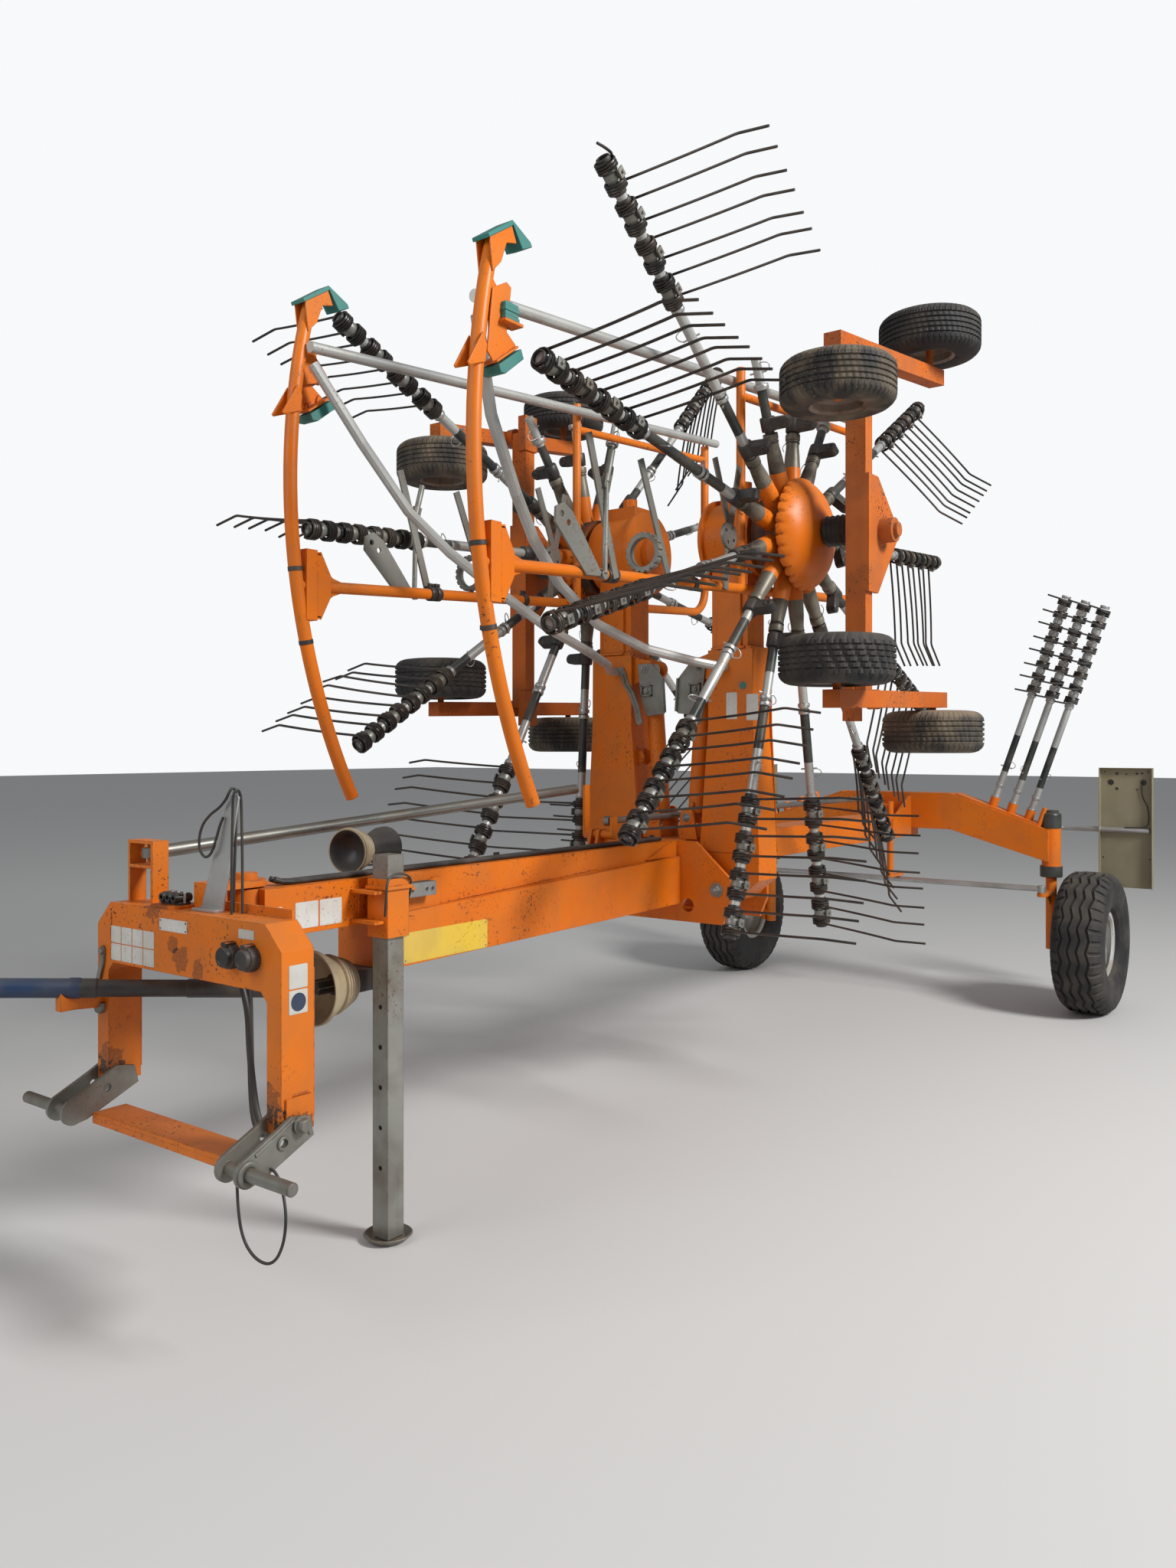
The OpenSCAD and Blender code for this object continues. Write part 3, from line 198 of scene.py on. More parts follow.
def scrapedMask(tree, vector, spots):
    # ragged patches round the given places: x, y, z from the rear axle, and a radius
    _, ragged = noiseMask(tree, vector, 55.0, 0.0, 1.0, 12.0)
    total = None
    for x, y, z, radius in spots:
        away = tree.nodes.new("ShaderNodeVectorMath")
        away.operation = "DISTANCE"
        away.inputs[1].default_value = at(x, y, z)
        tree.links.new(vector, away.inputs[0])
        near = addNode(tree, "ShaderNodeMapRange", {"From Min": radius, "From Max": 0.0}, Value=away.outputs["Value"])
        both = plusNode(tree, ragged, near.outputs["Result"])
        spot = addNode(tree, "ShaderNodeMapRange", {"From Min": 0.99, "From Max": 1.03}, Value=both)
        total = spot.outputs["Result"] if total is None else plusNode(tree, total, spot.outputs["Result"])
    # flecks of paint left inside the patches
    _, left = noiseMask(tree, vector, 190.0, 0.36, 0.44, 5.0)
    return timesNode(tree, total, left)


scrapedColour = (0.055, 0.03, 0.02)


def makeFinish(name, base, faded, dirt, rust=(0.16, 0.06, 0.03), dust=0.4, rustAmount=0.5, grain=160.0,
               roughness=(0.4, 0.85), metallic=0.0, bump=0.15, depth=0.001, edge=0.004, chips=0.5, specular=0.5,
               spots=()):
    material = bpy.data.materials.new(name)
    material.use_nodes = True
    tree = material.node_tree
    shader = tree.nodes["Principled BSDF"]
    place = tree.nodes.new("ShaderNodeTexCoord").outputs["Object"]
    wear = addNode(tree, "ShaderNodeGroup", {"node_tree": fieldWear, "Dust": dust, "Rust": rustAmount,
                                             "Grain": grain}, Vector=place)
    colour = mixColour(tree, base, faded, wear.outputs["Faded"])
    colour = mixColour(tree, colour, dirt, wear.outputs["Dusty"])
    colour = mixColour(tree, colour, rust, wear.outputs["Rusty"])
    if spots:
        colour = mixColour(tree, colour, scrapedColour, scrapedMask(tree, place, spots))
    relief = addNode(tree, "ShaderNodeBump", {"Strength": bump, "Distance": depth}, Height=wear.outputs["Height"])
    if edge:
        worn = addNode(tree, "ShaderNodeGroup", {"node_tree": edgeWear, "Radius": edge, "Chips": chips}, Vector=place)
        colour = mixColour(tree, colour, rust, worn.outputs["Chipped"])
        tree.links.new(worn.outputs["Normal"], relief.inputs["Normal"])
    rough = addNode(tree, "ShaderNodeMapRange", {"To Min": roughness[0], "To Max": roughness[1]},
                    Value=wear.outputs["Dusty"])
    shader.inputs["Metallic"].default_value = metallic
    shader.inputs["Specular IOR Level"].default_value = specular
    for label, source in (("Base Color", colour), ("Roughness", rough.outputs["Result"]),
                          ("Normal", relief.outputs["Normal"])):
        tree.links.new(source, shader.inputs[label])
    return material


# where the headstock's paint is scraped to rust
headScrapes = ((5.42, -0.045, 1.022, 0.055), (5.42, -0.01, 0.985, 0.075), (5.42, 0.075, 0.962, 0.06),
               (5.42, 0.385, 0.64, 0.11), (5.42, 0.4, 0.575, 0.11), (5.4, 0.445, 0.58, 0.075),
               (5.34, 0.445, 0.572, 0.06), (5.42, -0.39, 0.625, 0.1), (5.4, -0.415, 0.58, 0.1),
               (5.42, 0.305, 0.925, 0.035), (5.42, 0.205, 1.02, 0.03), (5.4, -0.15, 1.12, 0.09))

# each finish: its slot in the record, its clean, faded and dirty colours, and what sets it apart
finishLooks = {
    "orangePaint": ("orange_paint", (0.66, 0.14, 0.003), (0.72, 0.18, 0.01), (0.3, 0.125, 0.04),
                    dict(rust=(0.085, 0.034, 0.02), dust=0.26, rustAmount=0.9, roughness=(0.36, 0.75),
                         chips=0.9, specular=0.3)),
    "headPaint": ("orange_paint", (0.66, 0.14, 0.003), (0.72, 0.18, 0.01), (0.3, 0.125, 0.04),
                  dict(rust=(0.085, 0.034, 0.02), dust=0.3, rustAmount=1.2, roughness=(0.36, 0.75),
                       chips=1.2, specular=0.3, spots=headScrapes)),
    # darker orange of the undercarriage: real pitting and rust, and its darker base also paints shade on it
    "pittedPaint": ("orange_paint", (0.5, 0.1, 0.005), (0.56, 0.135, 0.014), (0.22, 0.085, 0.04),
                    dict(rust=(0.06, 0.028, 0.018), dust=0.5, rustAmount=2.0, roughness=(0.5, 0.85),
                         bump=0.3, chips=1.2, specular=0.3)),
    "galvanised": ("zinc", (0.42, 0.43, 0.43), (0.6, 0.6, 0.58), (0.3, 0.27, 0.22),
                   dict(dust=0.5, rustAmount=0.35, metallic=0.75, roughness=(0.34, 0.7), grain=90.0,
                        chips=0.2)),
    "blackSteel": ("black_steel", (0.018, 0.018, 0.019), (0.045, 0.043, 0.042), (0.13, 0.105, 0.08),
                   dict(dust=0.45, rustAmount=0.6, metallic=0.2, roughness=(0.42, 0.85), chips=0.6)),
    "greenBlack": ("black_steel", (0.022, 0.028, 0.028), (0.055, 0.062, 0.058), (0.16, 0.14, 0.11),
                   dict(dust=0.5, rustAmount=0.4, metallic=0.35, roughness=(0.35, 0.75), edge=0,
                        chips=0.4)),
    "springSteel": ("black_steel", (0.02, 0.019, 0.019), (0.05, 0.045, 0.04), (0.14, 0.1, 0.07),
                    dict(rust=(0.12, 0.05, 0.03), dust=0.4, rustAmount=0.7, metallic=0.5,
                         roughness=(0.36, 0.75), edge=0)),
    "silverTube": ("zinc", (0.4, 0.41, 0.4), (0.62, 0.62, 0.58), (0.24, 0.21, 0.17),
                   dict(dust=0.42, rustAmount=0.5, metallic=0.5, roughness=(0.38, 0.68), edge=0)),
    "wornSteel": ("zinc", (0.3, 0.3, 0.29), (0.46, 0.45, 0.43), (0.12, 0.1, 0.08),
                  dict(dust=0.7, rustAmount=0.8, metallic=0.7, roughness=(0.35, 0.7))),
    "castSteel": ("zinc", (0.21, 0.215, 0.19), (0.33, 0.33, 0.3), (0.13, 0.095, 0.06),
                  dict(rust=(0.15, 0.06, 0.03), dust=0.6, rustAmount=0.8, metallic=0.55,
                       roughness=(0.42, 0.75), grain=110.0, bump=0.35, chips=0.9)),
    "greasyPaint": ("orange_paint", (0.085, 0.024, 0.006), (0.3, 0.075, 0.008), (0.03, 0.021, 0.014),
                    dict(dust=0.9, rustAmount=0.9, roughness=(0.3, 0.75), grain=90.0, bump=0.5, chips=1.0)),
    "greasySteel": ("zinc", (0.125, 0.115, 0.085), (0.27, 0.25, 0.19), (0.045, 0.032, 0.022),
                    dict(rust=(0.13, 0.05, 0.02), dust=0.9, rustAmount=0.9, metallic=0.35,
                         roughness=(0.4, 0.8), grain=70.0, bump=0.5, chips=1.2)),
    "dullTube": ("zinc", (0.19, 0.195, 0.18), (0.32, 0.32, 0.29), (0.14, 0.11, 0.08),
                 dict(dust=0.5, rustAmount=0.6, metallic=0.75, roughness=(0.3, 0.65), edge=0)),
    "tyreRubber": ("tyre_rubber", (0.01, 0.01, 0.011), (0.02, 0.019, 0.019), (0.12, 0.1, 0.078),
                   dict(rust=(0.06, 0.05, 0.04), dust=0.42, rustAmount=0.5, roughness=(0.72, 0.95),
                        bump=0.3, edge=0)),
    "muddyRubber": ("tyre_rubber", (0.02, 0.019, 0.018), (0.045, 0.04, 0.035), (0.2, 0.155, 0.105),
                    dict(rust=(0.16, 0.12, 0.08), dust=0.9, rustAmount=0.9, roughness=(0.8, 0.98), bump=0.4,
                         edge=0)),
    "creamPaint": ("rim_paint", (0.5, 0.5, 0.48), (0.62, 0.62, 0.58), (0.22, 0.18, 0.13),
                   dict(dust=0.6, rustAmount=0.8, chips=0.7)),
    "rustyRim": ("rim_paint", (0.3, 0.27, 0.23), (0.2, 0.13, 0.09), (0.14, 0.075, 0.04),
                 dict(rust=(0.12, 0.05, 0.025), dust=0.9, rustAmount=1.0, roughness=(0.6, 0.92),
                      chips=0.8)),
    "khakiPaint": ("khaki_paint", (0.19, 0.17, 0.1), (0.27, 0.24, 0.15), (0.3, 0.26, 0.19),
                   dict(dust=0.5, rustAmount=0.4)),
    "bellowsRubber": ("bellows_rubber", (0.012, 0.012, 0.012), (0.026, 0.025, 0.024), (0.1, 0.085, 0.07),
                      dict(dust=0.45, rustAmount=0.1, roughness=(0.42, 0.8), edge=0)),
    "beigePlastic": ("guard_plastic", (0.36, 0.28, 0.165), (0.46, 0.37, 0.235), (0.16, 0.12, 0.075),
                     dict(dust=0.6, rustAmount=0.3, roughness=(0.5, 0.85), edge=0)),
    "blankPlate": ("rim_paint", (0.68, 0.67, 0.63), (0.56, 0.55, 0.5), (0.34, 0.28, 0.2),
                   dict(rust=(0.3, 0.2, 0.12), dust=0.4, rustAmount=0.5, roughness=(0.35, 0.7), edge=0)),
    "yellowPlate": ("guard_plastic", (0.72, 0.47, 0.03), (0.66, 0.46, 0.1), (0.34, 0.24, 0.1),
                    dict(dust=0.4, rustAmount=0.4, roughness=(0.35, 0.7), edge=0)),
    "tealRubber": ("bellows_rubber", (0.012, 0.17, 0.15), (0.03, 0.22, 0.19), (0.12, 0.13, 0.1),
                   dict(dust=0.4, rustAmount=0.1, roughness=(0.5, 0.8), edge=0)),
    "blueTube": ("guard_plastic", (0.006, 0.02, 0.065), (0.012, 0.036, 0.095), (0.07, 0.07, 0.065),
                 dict(dust=0.5, rustAmount=0.3, roughness=(0.4, 0.8), edge=0)),
    "redGlass": ("guard_plastic", (0.36, 0.012, 0.01), (0.42, 0.03, 0.02), (0.18, 0.07, 0.05),
                 dict(dust=0.3, rustAmount=0.0, roughness=(0.2, 0.6), edge=0)),
}
finishes = {name: makeFinish(name, *look[1:4], **look[4]) for name, look in finishLooks.items()}
print("finishes made")

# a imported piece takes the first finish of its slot, unless it is named here
finishOfSlot = {}
for name, look in finishLooks.items():
    finishOfSlot.setdefault(look[0], name)
finishOfNode = {
    # the undercarriage's darker pitted finish is partly real pitting and partly painted shade
    "headstock": "headPaint", "undercarriage_left": "pittedPaint", "undercarriage_right": "pittedPaint",
    "stand_leg": "castSteel", "link_arms": "castSteel", "steering_rod_front": "dullTube",
    # the braces take the dark cast finish for their dirt, and its darkness also paints their shade
    "steering_rod_rear": "dullTube", "braces_left": "castSteel", "braces_right": "castSteel",
    "pipes_left": "silverTube", "pipes_right": "silverTube", "cylinder_left": "orangePaint",
    "cylinder_right": "orangePaint",
}
for part in frame["record"]["subparts"]:
    mesh = nodes[part["node"]].data
    mesh.materials.clear()
    mesh.materials.append(finishes[finishOfNode.get(part["node"], finishOfSlot[part["material_slot"]])])
print("packed pieces painted")


# shape helpers: all of them add faces to a bmesh, in metres from the rear axle
def markNew(bm, count, material, smooth=True):
    bm.faces.ensure_lookup_table()
    for face in bm.faces[count:]:
        face.material_index = material
        face.smooth = smooth


def addTube(bm, path, radius, sides=10, material=0):
    # round section swept along the path
    points = [Vector(p) for p in path]
    start = len(bm.faces)
    rings = []
    side = None
    for i, point in enumerate(points):
        before = (point - points[i - 1]).normalized() if i else Vector()
        after = (points[i + 1] - point).normalized() if i < len(points) - 1 else Vector()
        run = (before + after).normalized()
        if side is None:
            side = run.orthogonal()
        side = (side - side.dot(run) * run).normalized()
        up = run.cross(side)
        rings.append([bm.verts.new(point + radius * (u * side + v * up)) for u, v in circle(0, 0, 1, sides)])
    for a, b in zip(rings, rings[1:]):
        for k in range(sides):
            m = (k + 1) % sides
            bm.faces.new((a[k], a[m], b[m], b[k]))
    bm.faces.new(list(reversed(rings[0])))
    bm.faces.new(rings[-1])
    markNew(bm, start, material)


def addBox(bm, low, high, material=0):
    start = len(bm.faces)
    corners = [bm.verts.new((x, y, z)) for x in (low[0], high[0]) for y in (low[1], high[1])
               for z in (low[2], high[2])]
    for quad in ((0, 1, 3, 2), (4, 6, 7, 5), (0, 4, 5, 1), (2, 3, 7, 6), (0, 2, 6, 4), (1, 5, 7, 3)):
        bm.faces.new([corners[i] for i in quad])
    markNew(bm, start, material, False)


def addPrism(bm, outline, place, low, high, material=0):
    # outline of (u, v) points, drawn out from low to high; place turns (u, v, w) into a point
    start = len(bm.faces)
    near = [bm.verts.new(place(u, v, low)) for u, v in outline]
    far = [bm.verts.new(place(u, v, high)) for u, v in outline]
    count = len(outline)
    for i in range(count):
        m = (i + 1) % count
        bm.faces.new((near[i], near[m], far[m], far[i]))
    bm.faces.new(list(reversed(near)))
    bm.faces.new(far)
    markNew(bm, start, material, False)


def addRings(bm, rows, material=0, materials=None):
    # rows of points, joined both ways round, as a tyre or a closed ring
    start = len(bm.faces)
    grid = [[bm.verts.new(p) for p in row] for row in rows]
    for i in range(len(grid)):
        a, b = grid[i], grid[(i + 1) % len(grid)]
        for k in range(len(a)):
            m = (k + 1) % len(a)
            face = bm.faces.new((a[k], a[m], b[m], b[k]))
            if materials:
                face.material_index = materials[k]
                face.smooth = True
    if not materials:
        markNew(bm, start, material)


def addLathe(bm, profile, origin, axis, steps=64, material=0, materials=None):
    # closed outline of (radius, along) points turned about an axis
    origin, axis = Vector(origin), Vector(axis).normalized()
    side = axis.orthogonal().normalized()
    up = axis.cross(side)
    rows = []
    for i in range(steps):
        angle = 2 * math.pi * i / steps
        out = math.cos(angle) * side + math.sin(angle) * up
        rows.append([origin + out * max(r, 0.0004) + axis * t for r, t in profile])
    addRings(bm, rows, material, materials)


def makePiece(name, bm, body, finishNames, side=1, smooth=38, bevel=0.0, replaced=()):
    # turns a bmesh into a piece that rides on a body; side -1 mirrors it to the right
    if side < 0:
        bmesh.ops.scale(bm, vec=(1, -1, 1), verts=bm.verts)
    bmesh.ops.translate(bm, vec=(axleX, 0, 0), verts=bm.verts)
    bmesh.ops.recalc_face_normals(bm, faces=bm.faces)
    mesh = bpy.data.meshes.new(name)
    bm.to_mesh(mesh)
    bm.free()
    return linkPiece(name, mesh, body, finishNames, smooth, bevel, replaced)


def linkPiece(name, mesh, body, finishNames, smooth, bevel=0.0, replaced=()):
    for finish in finishNames:
        mesh.materials.append(finishes[finish])
    mesh.set_sharp_from_angle(angle=math.radians(smooth))
    piece = bpy.data.objects.new(name, mesh)
    bpy.context.scene.collection.objects.link(piece)
    if bevel:
        rounding = piece.modifiers.new("rounding", "BEVEL")
        rounding.width = bevel
        rounding.segments = 2
        rounding.limit_method = "ANGLE"
        rounding.angle_limit = math.radians(50)
    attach(piece, body)
    if replaced:
        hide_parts(*replaced)
    return piece


def placePartsTree():
    # puts a part on every point, turned by the point's own turn and sized by its own size
    tree, inside, outside = newGroup(
        "placeParts",
        [("Points", "NodeSocketGeometry", None), ("Part", "NodeSocketObject", None),
         ("Finish", "NodeSocketMaterial", None)],
        [("Parts", "NodeSocketGeometry")], "GeometryNodeTree")
    part = addNode(tree, "GeometryNodeObjectInfo", Object=inside.outputs["Part"])
    turn, size = [addNode(tree, "GeometryNodeInputNamedAttribute", {"data_type": "FLOAT_VECTOR", "Name": label})
                  for label in ("turn", "size")]
    spread = addNode(tree, "GeometryNodeInstanceOnPoints", Points=inside.outputs["Points"],
                     Instance=part.outputs["Geometry"], Rotation=turn.outputs["Attribute"],
                     Scale=size.outputs["Attribute"])
    solid = addNode(tree, "GeometryNodeRealizeInstances", Geometry=spread.outputs["Instances"])
    paint = addNode(tree, "GeometryNodeSetMaterial", Geometry=solid.outputs["Geometry"],
                    Material=inside.outputs["Finish"])
    tree.links.new(paint.outputs["Geometry"], outside.inputs["Parts"])
    return tree


placeParts = placePartsTree()


def placeCopies(name, partShape, places, body, finish, smooth=38):
    # places are (matrix, size) pairs in metres from the rear axle
    points = bpy.data.meshes.new(name + "Points")
    points.from_pydata([at(*m.translation) for m, _ in places], [], [])
    turn = points.attributes.new("turn", "FLOAT_VECTOR", "POINT")
    size = points.attributes.new("size", "FLOAT_VECTOR", "POINT")
    for i, (m, scale) in enumerate(places):
        turn.data[i].vector = m.to_euler()
        size.data[i].vector = (scale,) * 3
    holder = bpy.data.objects.new(name + "Holder", points)
    part = bpy.data.objects.new(name + "Part", partShape)
    bpy.context.scene.collection.objects.link(holder)
    bpy.context.scene.collection.objects.link(part)
    copies = holder.modifiers.new("copies", "NODES")
    copies.node_group = placeParts
    sockets = {s.name: s.identifier for s in placeParts.interface.items_tree if s.in_out == "INPUT"}
    copies[sockets["Part"]] = part
    copies[sockets["Finish"]] = finishes[finish]
    graph = bpy.context.evaluated_depsgraph_get()
    mesh = bpy.data.meshes.new_from_object(holder.evaluated_get(graph))
    mesh.name = name
    mesh.materials.clear()
    bpy.data.objects.remove(holder)
    bpy.data.objects.remove(part)
    linkPiece(name, mesh, body, [finish], smooth)


def partMesh(name, build):
    bm = bmesh.new()
    build(bm)
    bmesh.ops.recalc_face_normals(bm, faces=bm.faces)
    mesh = bpy.data.meshes.new(name)
    bm.to_mesh(mesh)
    bm.free()
    return mesh


# profiles for addLathe, as (radius, along) points
def sleeve(inner, outer, low, high):
    return [(inner, low), (outer, low), (outer, high), (inner, high)]


def ring(inner, outer, low, high, step, rise):
    # sleeve whose outer edges are cut by step across and rise along
    return [(inner, low), (outer - step, low), (outer, low + rise), (outer, high - rise), (outer - step, high),
            (inner, high)]


def mirrored(half):
    # the same points on the far side, in reverse
    return [(r, -t) for r, t in reversed(half)]


def circle(u, v, radius, count, start=0.0):
    turns = [start + 2 * math.pi * k / count for k in range(count)]
    return [(u + radius * math.cos(turn), v + radius * math.sin(turn)) for turn in turns]


def curved(points, steps=4):
    # smooth line through the points
    points = [Vector(p) for p in points]
    out = []
    for i in range(len(points) - 1):
        a, b = points[max(i - 1, 0)], points[i]
        c, d = points[i + 1], points[min(i + 2, len(points) - 1)]
        for k in range(steps):
            t = k / steps
            out.append(0.5 * (2 * b + (c - a) * t + (2 * a - 5 * b + 4 * c - d) * t * t
                              + (3 * b - a - 3 * c + d) * t ** 3))
    out.append(points[-1])
    return out


def facing(place, normal):
    # matrix that stands a part on a place with its z along the normal
    return Matrix.Translation(Vector(place)) @ Vector(normal).to_track_quat("Z", "Y").to_matrix().to_4x4()


# cords and hoses that hang or lie free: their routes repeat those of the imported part
cordRoutes = {
    "portal_hose_1": ((5309.7, 240, 1021), (5285, 240, 1021), (5266, 239, 1008), (5256, 235, 960), (5252, 228, 860),
                      (5250, 220, 740), (5249, 210, 620), (5249, 196, 530), (5249, 176, 482), (5249, 148, 462),
                      (5249, 120, 474), (5248, 100, 515), (5246, 88, 590), (5243, 80, 700), (5240, 72, 820),
                      (5234, 56, 910), (5230, 48, 965), (5230, 48, 993.7)),
    "portal_hose_2": ((5309.7, 325, 1022), (5287, 325, 1022), (5270, 324, 1008), (5263, 320, 968), (5264, 312, 860),
                      (5270, 302, 760), (5276, 288, 660), (5280, 270, 580), (5281, 246, 520), (5281, 216, 492),
                      (5281, 184, 500), (5280, 158, 540), (5278, 138, 610), (5276, 120, 710), (5272, 104, 820),
                      (5268, 66, 910), (5266, 42, 962), (5266, 42, 993.7)),
    "blade_cord_1": ((5333, 120, 1120.3), (5333, 122, 1160), (5333, 126, 1250), (5333, 132, 1350), (5333, 136, 1430),
                     (5336, 137, 1464), (5347, 137, 1480), (5358, 136, 1470), (5363, 126, 1448), (5365, 98, 1424),
                     (5366, 58, 1402), (5366, 22, 1372), (5366, 4, 1332), (5366, 8, 1296), (5366, 32, 1278),
                     (5366, 60, 1290), (5365, 80, 1326), (5362, 96, 1370), (5357, 106, 1396)),
    "blade_cord_2": ((5362, 151, 1120.3), (5362, 151, 1180), (5361, 151, 1280), (5360, 153, 1380), (5360, 155, 1440),
                     (5357, 156, 1466), (5348, 157, 1476), (5339, 158, 1466), (5335, 159, 1440), (5334, 161, 1360),
                     (5333, 162, 1260), (5333, 162, 1120.3)),
    "pin_cord": ((5540, 418, 481.5), (5540, 419, 450), (5540, 424, 400), (5540, 436, 350), (5538, 458, 312),
                 (5534, 492, 288), (5528, 530, 284), (5520, 556, 304), (5508, 566, 345), (5495, 558, 395),
                 (5484, 536, 440), (5476, 508, 474), (5471, 484, 490), (5470, 464.8, 494)),
}
cordLooks = {
    "portal_hose": {"width": 0.02, "stiffness": "stiff"},
    "blade_cord": {"width": 0.008, "stiffness": "medium"},
    "pin_cord": {"width": 0.008, "stiffness": "limp"},
}
for name, route in cordRoutes.items():
    look = cordLooks[name.rstrip("_12")]
    line = curved([[v / 1000 for v in point] for point in route], 5)
    bm = bmesh.new()
    addTube(bm, line, look["width"] / 2, 12)
    cord = makePiece(name.replace("_", ""), bm, "headstock", ["bellowsRubber"], replaced=(name,))
    path = [at(*p) for p in line]
print("cords laid")


# rotors: tine arms with their springs, tines and levers
rotor = {
    "x": 2.7, "y": 0.56, "z": 2.54, "step": 360 / 13, "phase": {"left": 10.4, "right": -3.5},
    "tones": {("left", 0): (1, 0, 0, 0, 1), ("left", 12): (1, 1, 0, 0, 1), ("left", 1): (1, 0, 1, 1, 1)},
    "tubeR": 0.021, "sleeveR": 0.46, "stubR": 0.78, "armR": 1.8, "firstCoil": 1.27, "pitch": 0.158,
    # position round the rotor and how far the cam has turned the tines back
    "arms": ((0, 0), (1, 0), (5, 50), (6, 80), (7, 84), (8, 60), (9, 10), (10, 0), (11, 0), (12, 0)),
    "stubs": (2, 3, 4), "bentTine": ("left", 1, 3),
    # distances from the hub's middle at which the small parts sit
    "lever": 0.5, "clips": (0.745, 1.06), "collars": (0.765, 0.795, 1.19), "band": 0.06,
    "stubCollar": 0.66, "stubClip": 0.72,
}
spring = {"gap": 0.0385, "wire": 0.0052, "radius": 0.0365, "turns": 3.6, "half": 0.0185}


def rotorPlace(label):
    # frame of a rotor: its axis along z, towards the middle of the machine; the right one is mirrored
    place = Matrix.Translation((rotor["x"], rotor["y"], rotor["z"])) @ Matrix.Rotation(math.radians(90), 4, "X")
    return place if label == "left" else Matrix.Scale(-1, 4, (0, 1, 0)) @ place


def armPlace(label, position):
    angle = math.radians(rotor["phase"][label] + position * rotor["step"])
    return rotorPlace(label) @ Matrix.Rotation(angle, 4, "Z")


def onArm(label, position, along, turn=0.0, size=1.0):
    # place and size of a part on an arm; on the right it is mirrored along its own x, which doesn't show
    place = armPlace(label, position) @ Matrix.Translation((along, 0, 0))
    place = place @ Matrix.Rotation(math.radians(turn), 4, "X")
    return (place if label == "left" else place @ Matrix.Scale(-1, 4, (1, 0, 0))), size


def addArmTube(bm, place, breaks, tones):
    # tubes pushed into each other at the breaks, each with its own tone
    for i, tone in enumerate(tones):
        line = [place @ Vector((breaks[i] + (breaks[i + 1] - breaks[i]) * k / 3, 0, 0)) for k in range(4)]
        addTube(bm, line, rotor["tubeR"] * (1.0 if i % 2 == 0 else 0.97), 20, tone)


def buildSprings(bm, bentOff=False):
    # a double spring with its two tines, along x, tines towards -z; on the worn one the outer tine is bent off
    wire, root = spring["wire"], (0.033, 0.012)
    for s in (-1, 1):
        coil = []
        steps = int(spring["turns"] * 16)
        for i in range(steps + 1):
            share = i / steps
            angle = math.pi / 2 + share * spring["turns"] * 2 * math.pi
            coil.append((s * (spring["gap"] - spring["half"] + share * 2 * spring["half"]),
                         spring["radius"] * math.sin(angle), -spring["radius"] * math.cos(angle)))
        addTube(bm, coil, wire, 6)
        x = s * (spring["gap"] + 0.004)
        if bentOff and s > 0:
            addTube(bm, curved([(x, *root), (x + 0.004, 0.034, -0.008), (x + 0.024, 0.016, -0.03),
                                (x + 0.06, -0.016, -0.038), (x + 0.092, -0.04, -0.034)], 4), wire, 6)
        else:
            tine = (root, (0.036, -0.03), (0.048, -0.14), (0.066, -0.28), (0.086, -0.41), (0.0925, -0.452),
                    (0.086, -0.49), (0.066, -0.585))
            addTube(bm, curved([(x, y, z) for y, z in tine], 3), wire, 6)
    # bridge between the two coils
    addTube(bm, curved([(-0.026, 0, -0.0365), (-0.012, -0.01, -0.038), (0, -0.016, -0.037),
                        (0.012, -0.01, -0.038), (0.026, 0, -0.0365)], 3), wire, 6)


def buildClamp(bm):
    # clamp between the coils: ring, washer plate and bolt
    addLathe(bm, ring(0.0215, 0.03, -0.014, 0.014, 0.001, 0.003), (0, 0, 0), (1, 0, 0), 20)
    addBox(bm, (-0.017, -0.017, -0.047), (0.017, 0.017, -0.041))
    addTube(bm, [(0, 0, -0.028), (0, 0, -0.055)], 0.006, 6)


def buildCollar(bm):
    addLathe(bm, ring(0.0212, 0.027, -0.009, 0.009, 0.001, 0.003), (0, 0, 0), (1, 0, 0), 20)


def buildClip(bm):
    # spring clip through the tube, with its wire ring
    addTube(bm, [(0, 0, -0.036), (0, 0, 0.036)], 0.004, 6)
    addTube(bm, curved([(0, 0, 0.034), (0.012, 0.006, 0.05), (0.03, 0.012, 0.052), (0.04, 0.014, 0.03),
                        (0.036, 0.012, 0.004), (0.018, 0.01, -0.01), (0.004, 0.004, -0.002)], 3), 0.0022, 5)


def buildLever(bm):
    # capsule-shaped lever of the cam, which stands out from the arm
    reach, radius = 0.084, 0.025
    outline = []
    for i in range(13):
        angle = math.pi * i / 12
        outline.append((radius * math.cos(angle), -reach - radius * math.sin(angle)))
    outline += [(-0.027, 0.01), (-0.018, 0.026), (0.018, 0.026), (0.027, 0.01)]
    addPrism(bm, outline, lambda u, v, w: (u, w, v), -0.021, 0.021)
    addLathe(bm, ring(0.008, 0.018, -0.024, 0.024, 0.002, 0.003), (0, 0, -reach), (0, 1, 0), 16)
    addLathe(bm, ring(0.022, 0.033, -0.03, 0.032, 0.003, 0.004), (0, 0, 0), (1, 0, 0), 20)


springMesh = partMesh("springPair", buildSprings)
bentMesh = partMesh("bentSpring", lambda bm: buildSprings(bm, True))
clampMesh = partMesh("springClamp", buildClamp)
collarMesh = partMesh("armCollar", buildCollar)
clipMesh = partMesh("springClip", buildClip)
leverMesh = partMesh("camLever", buildLever)

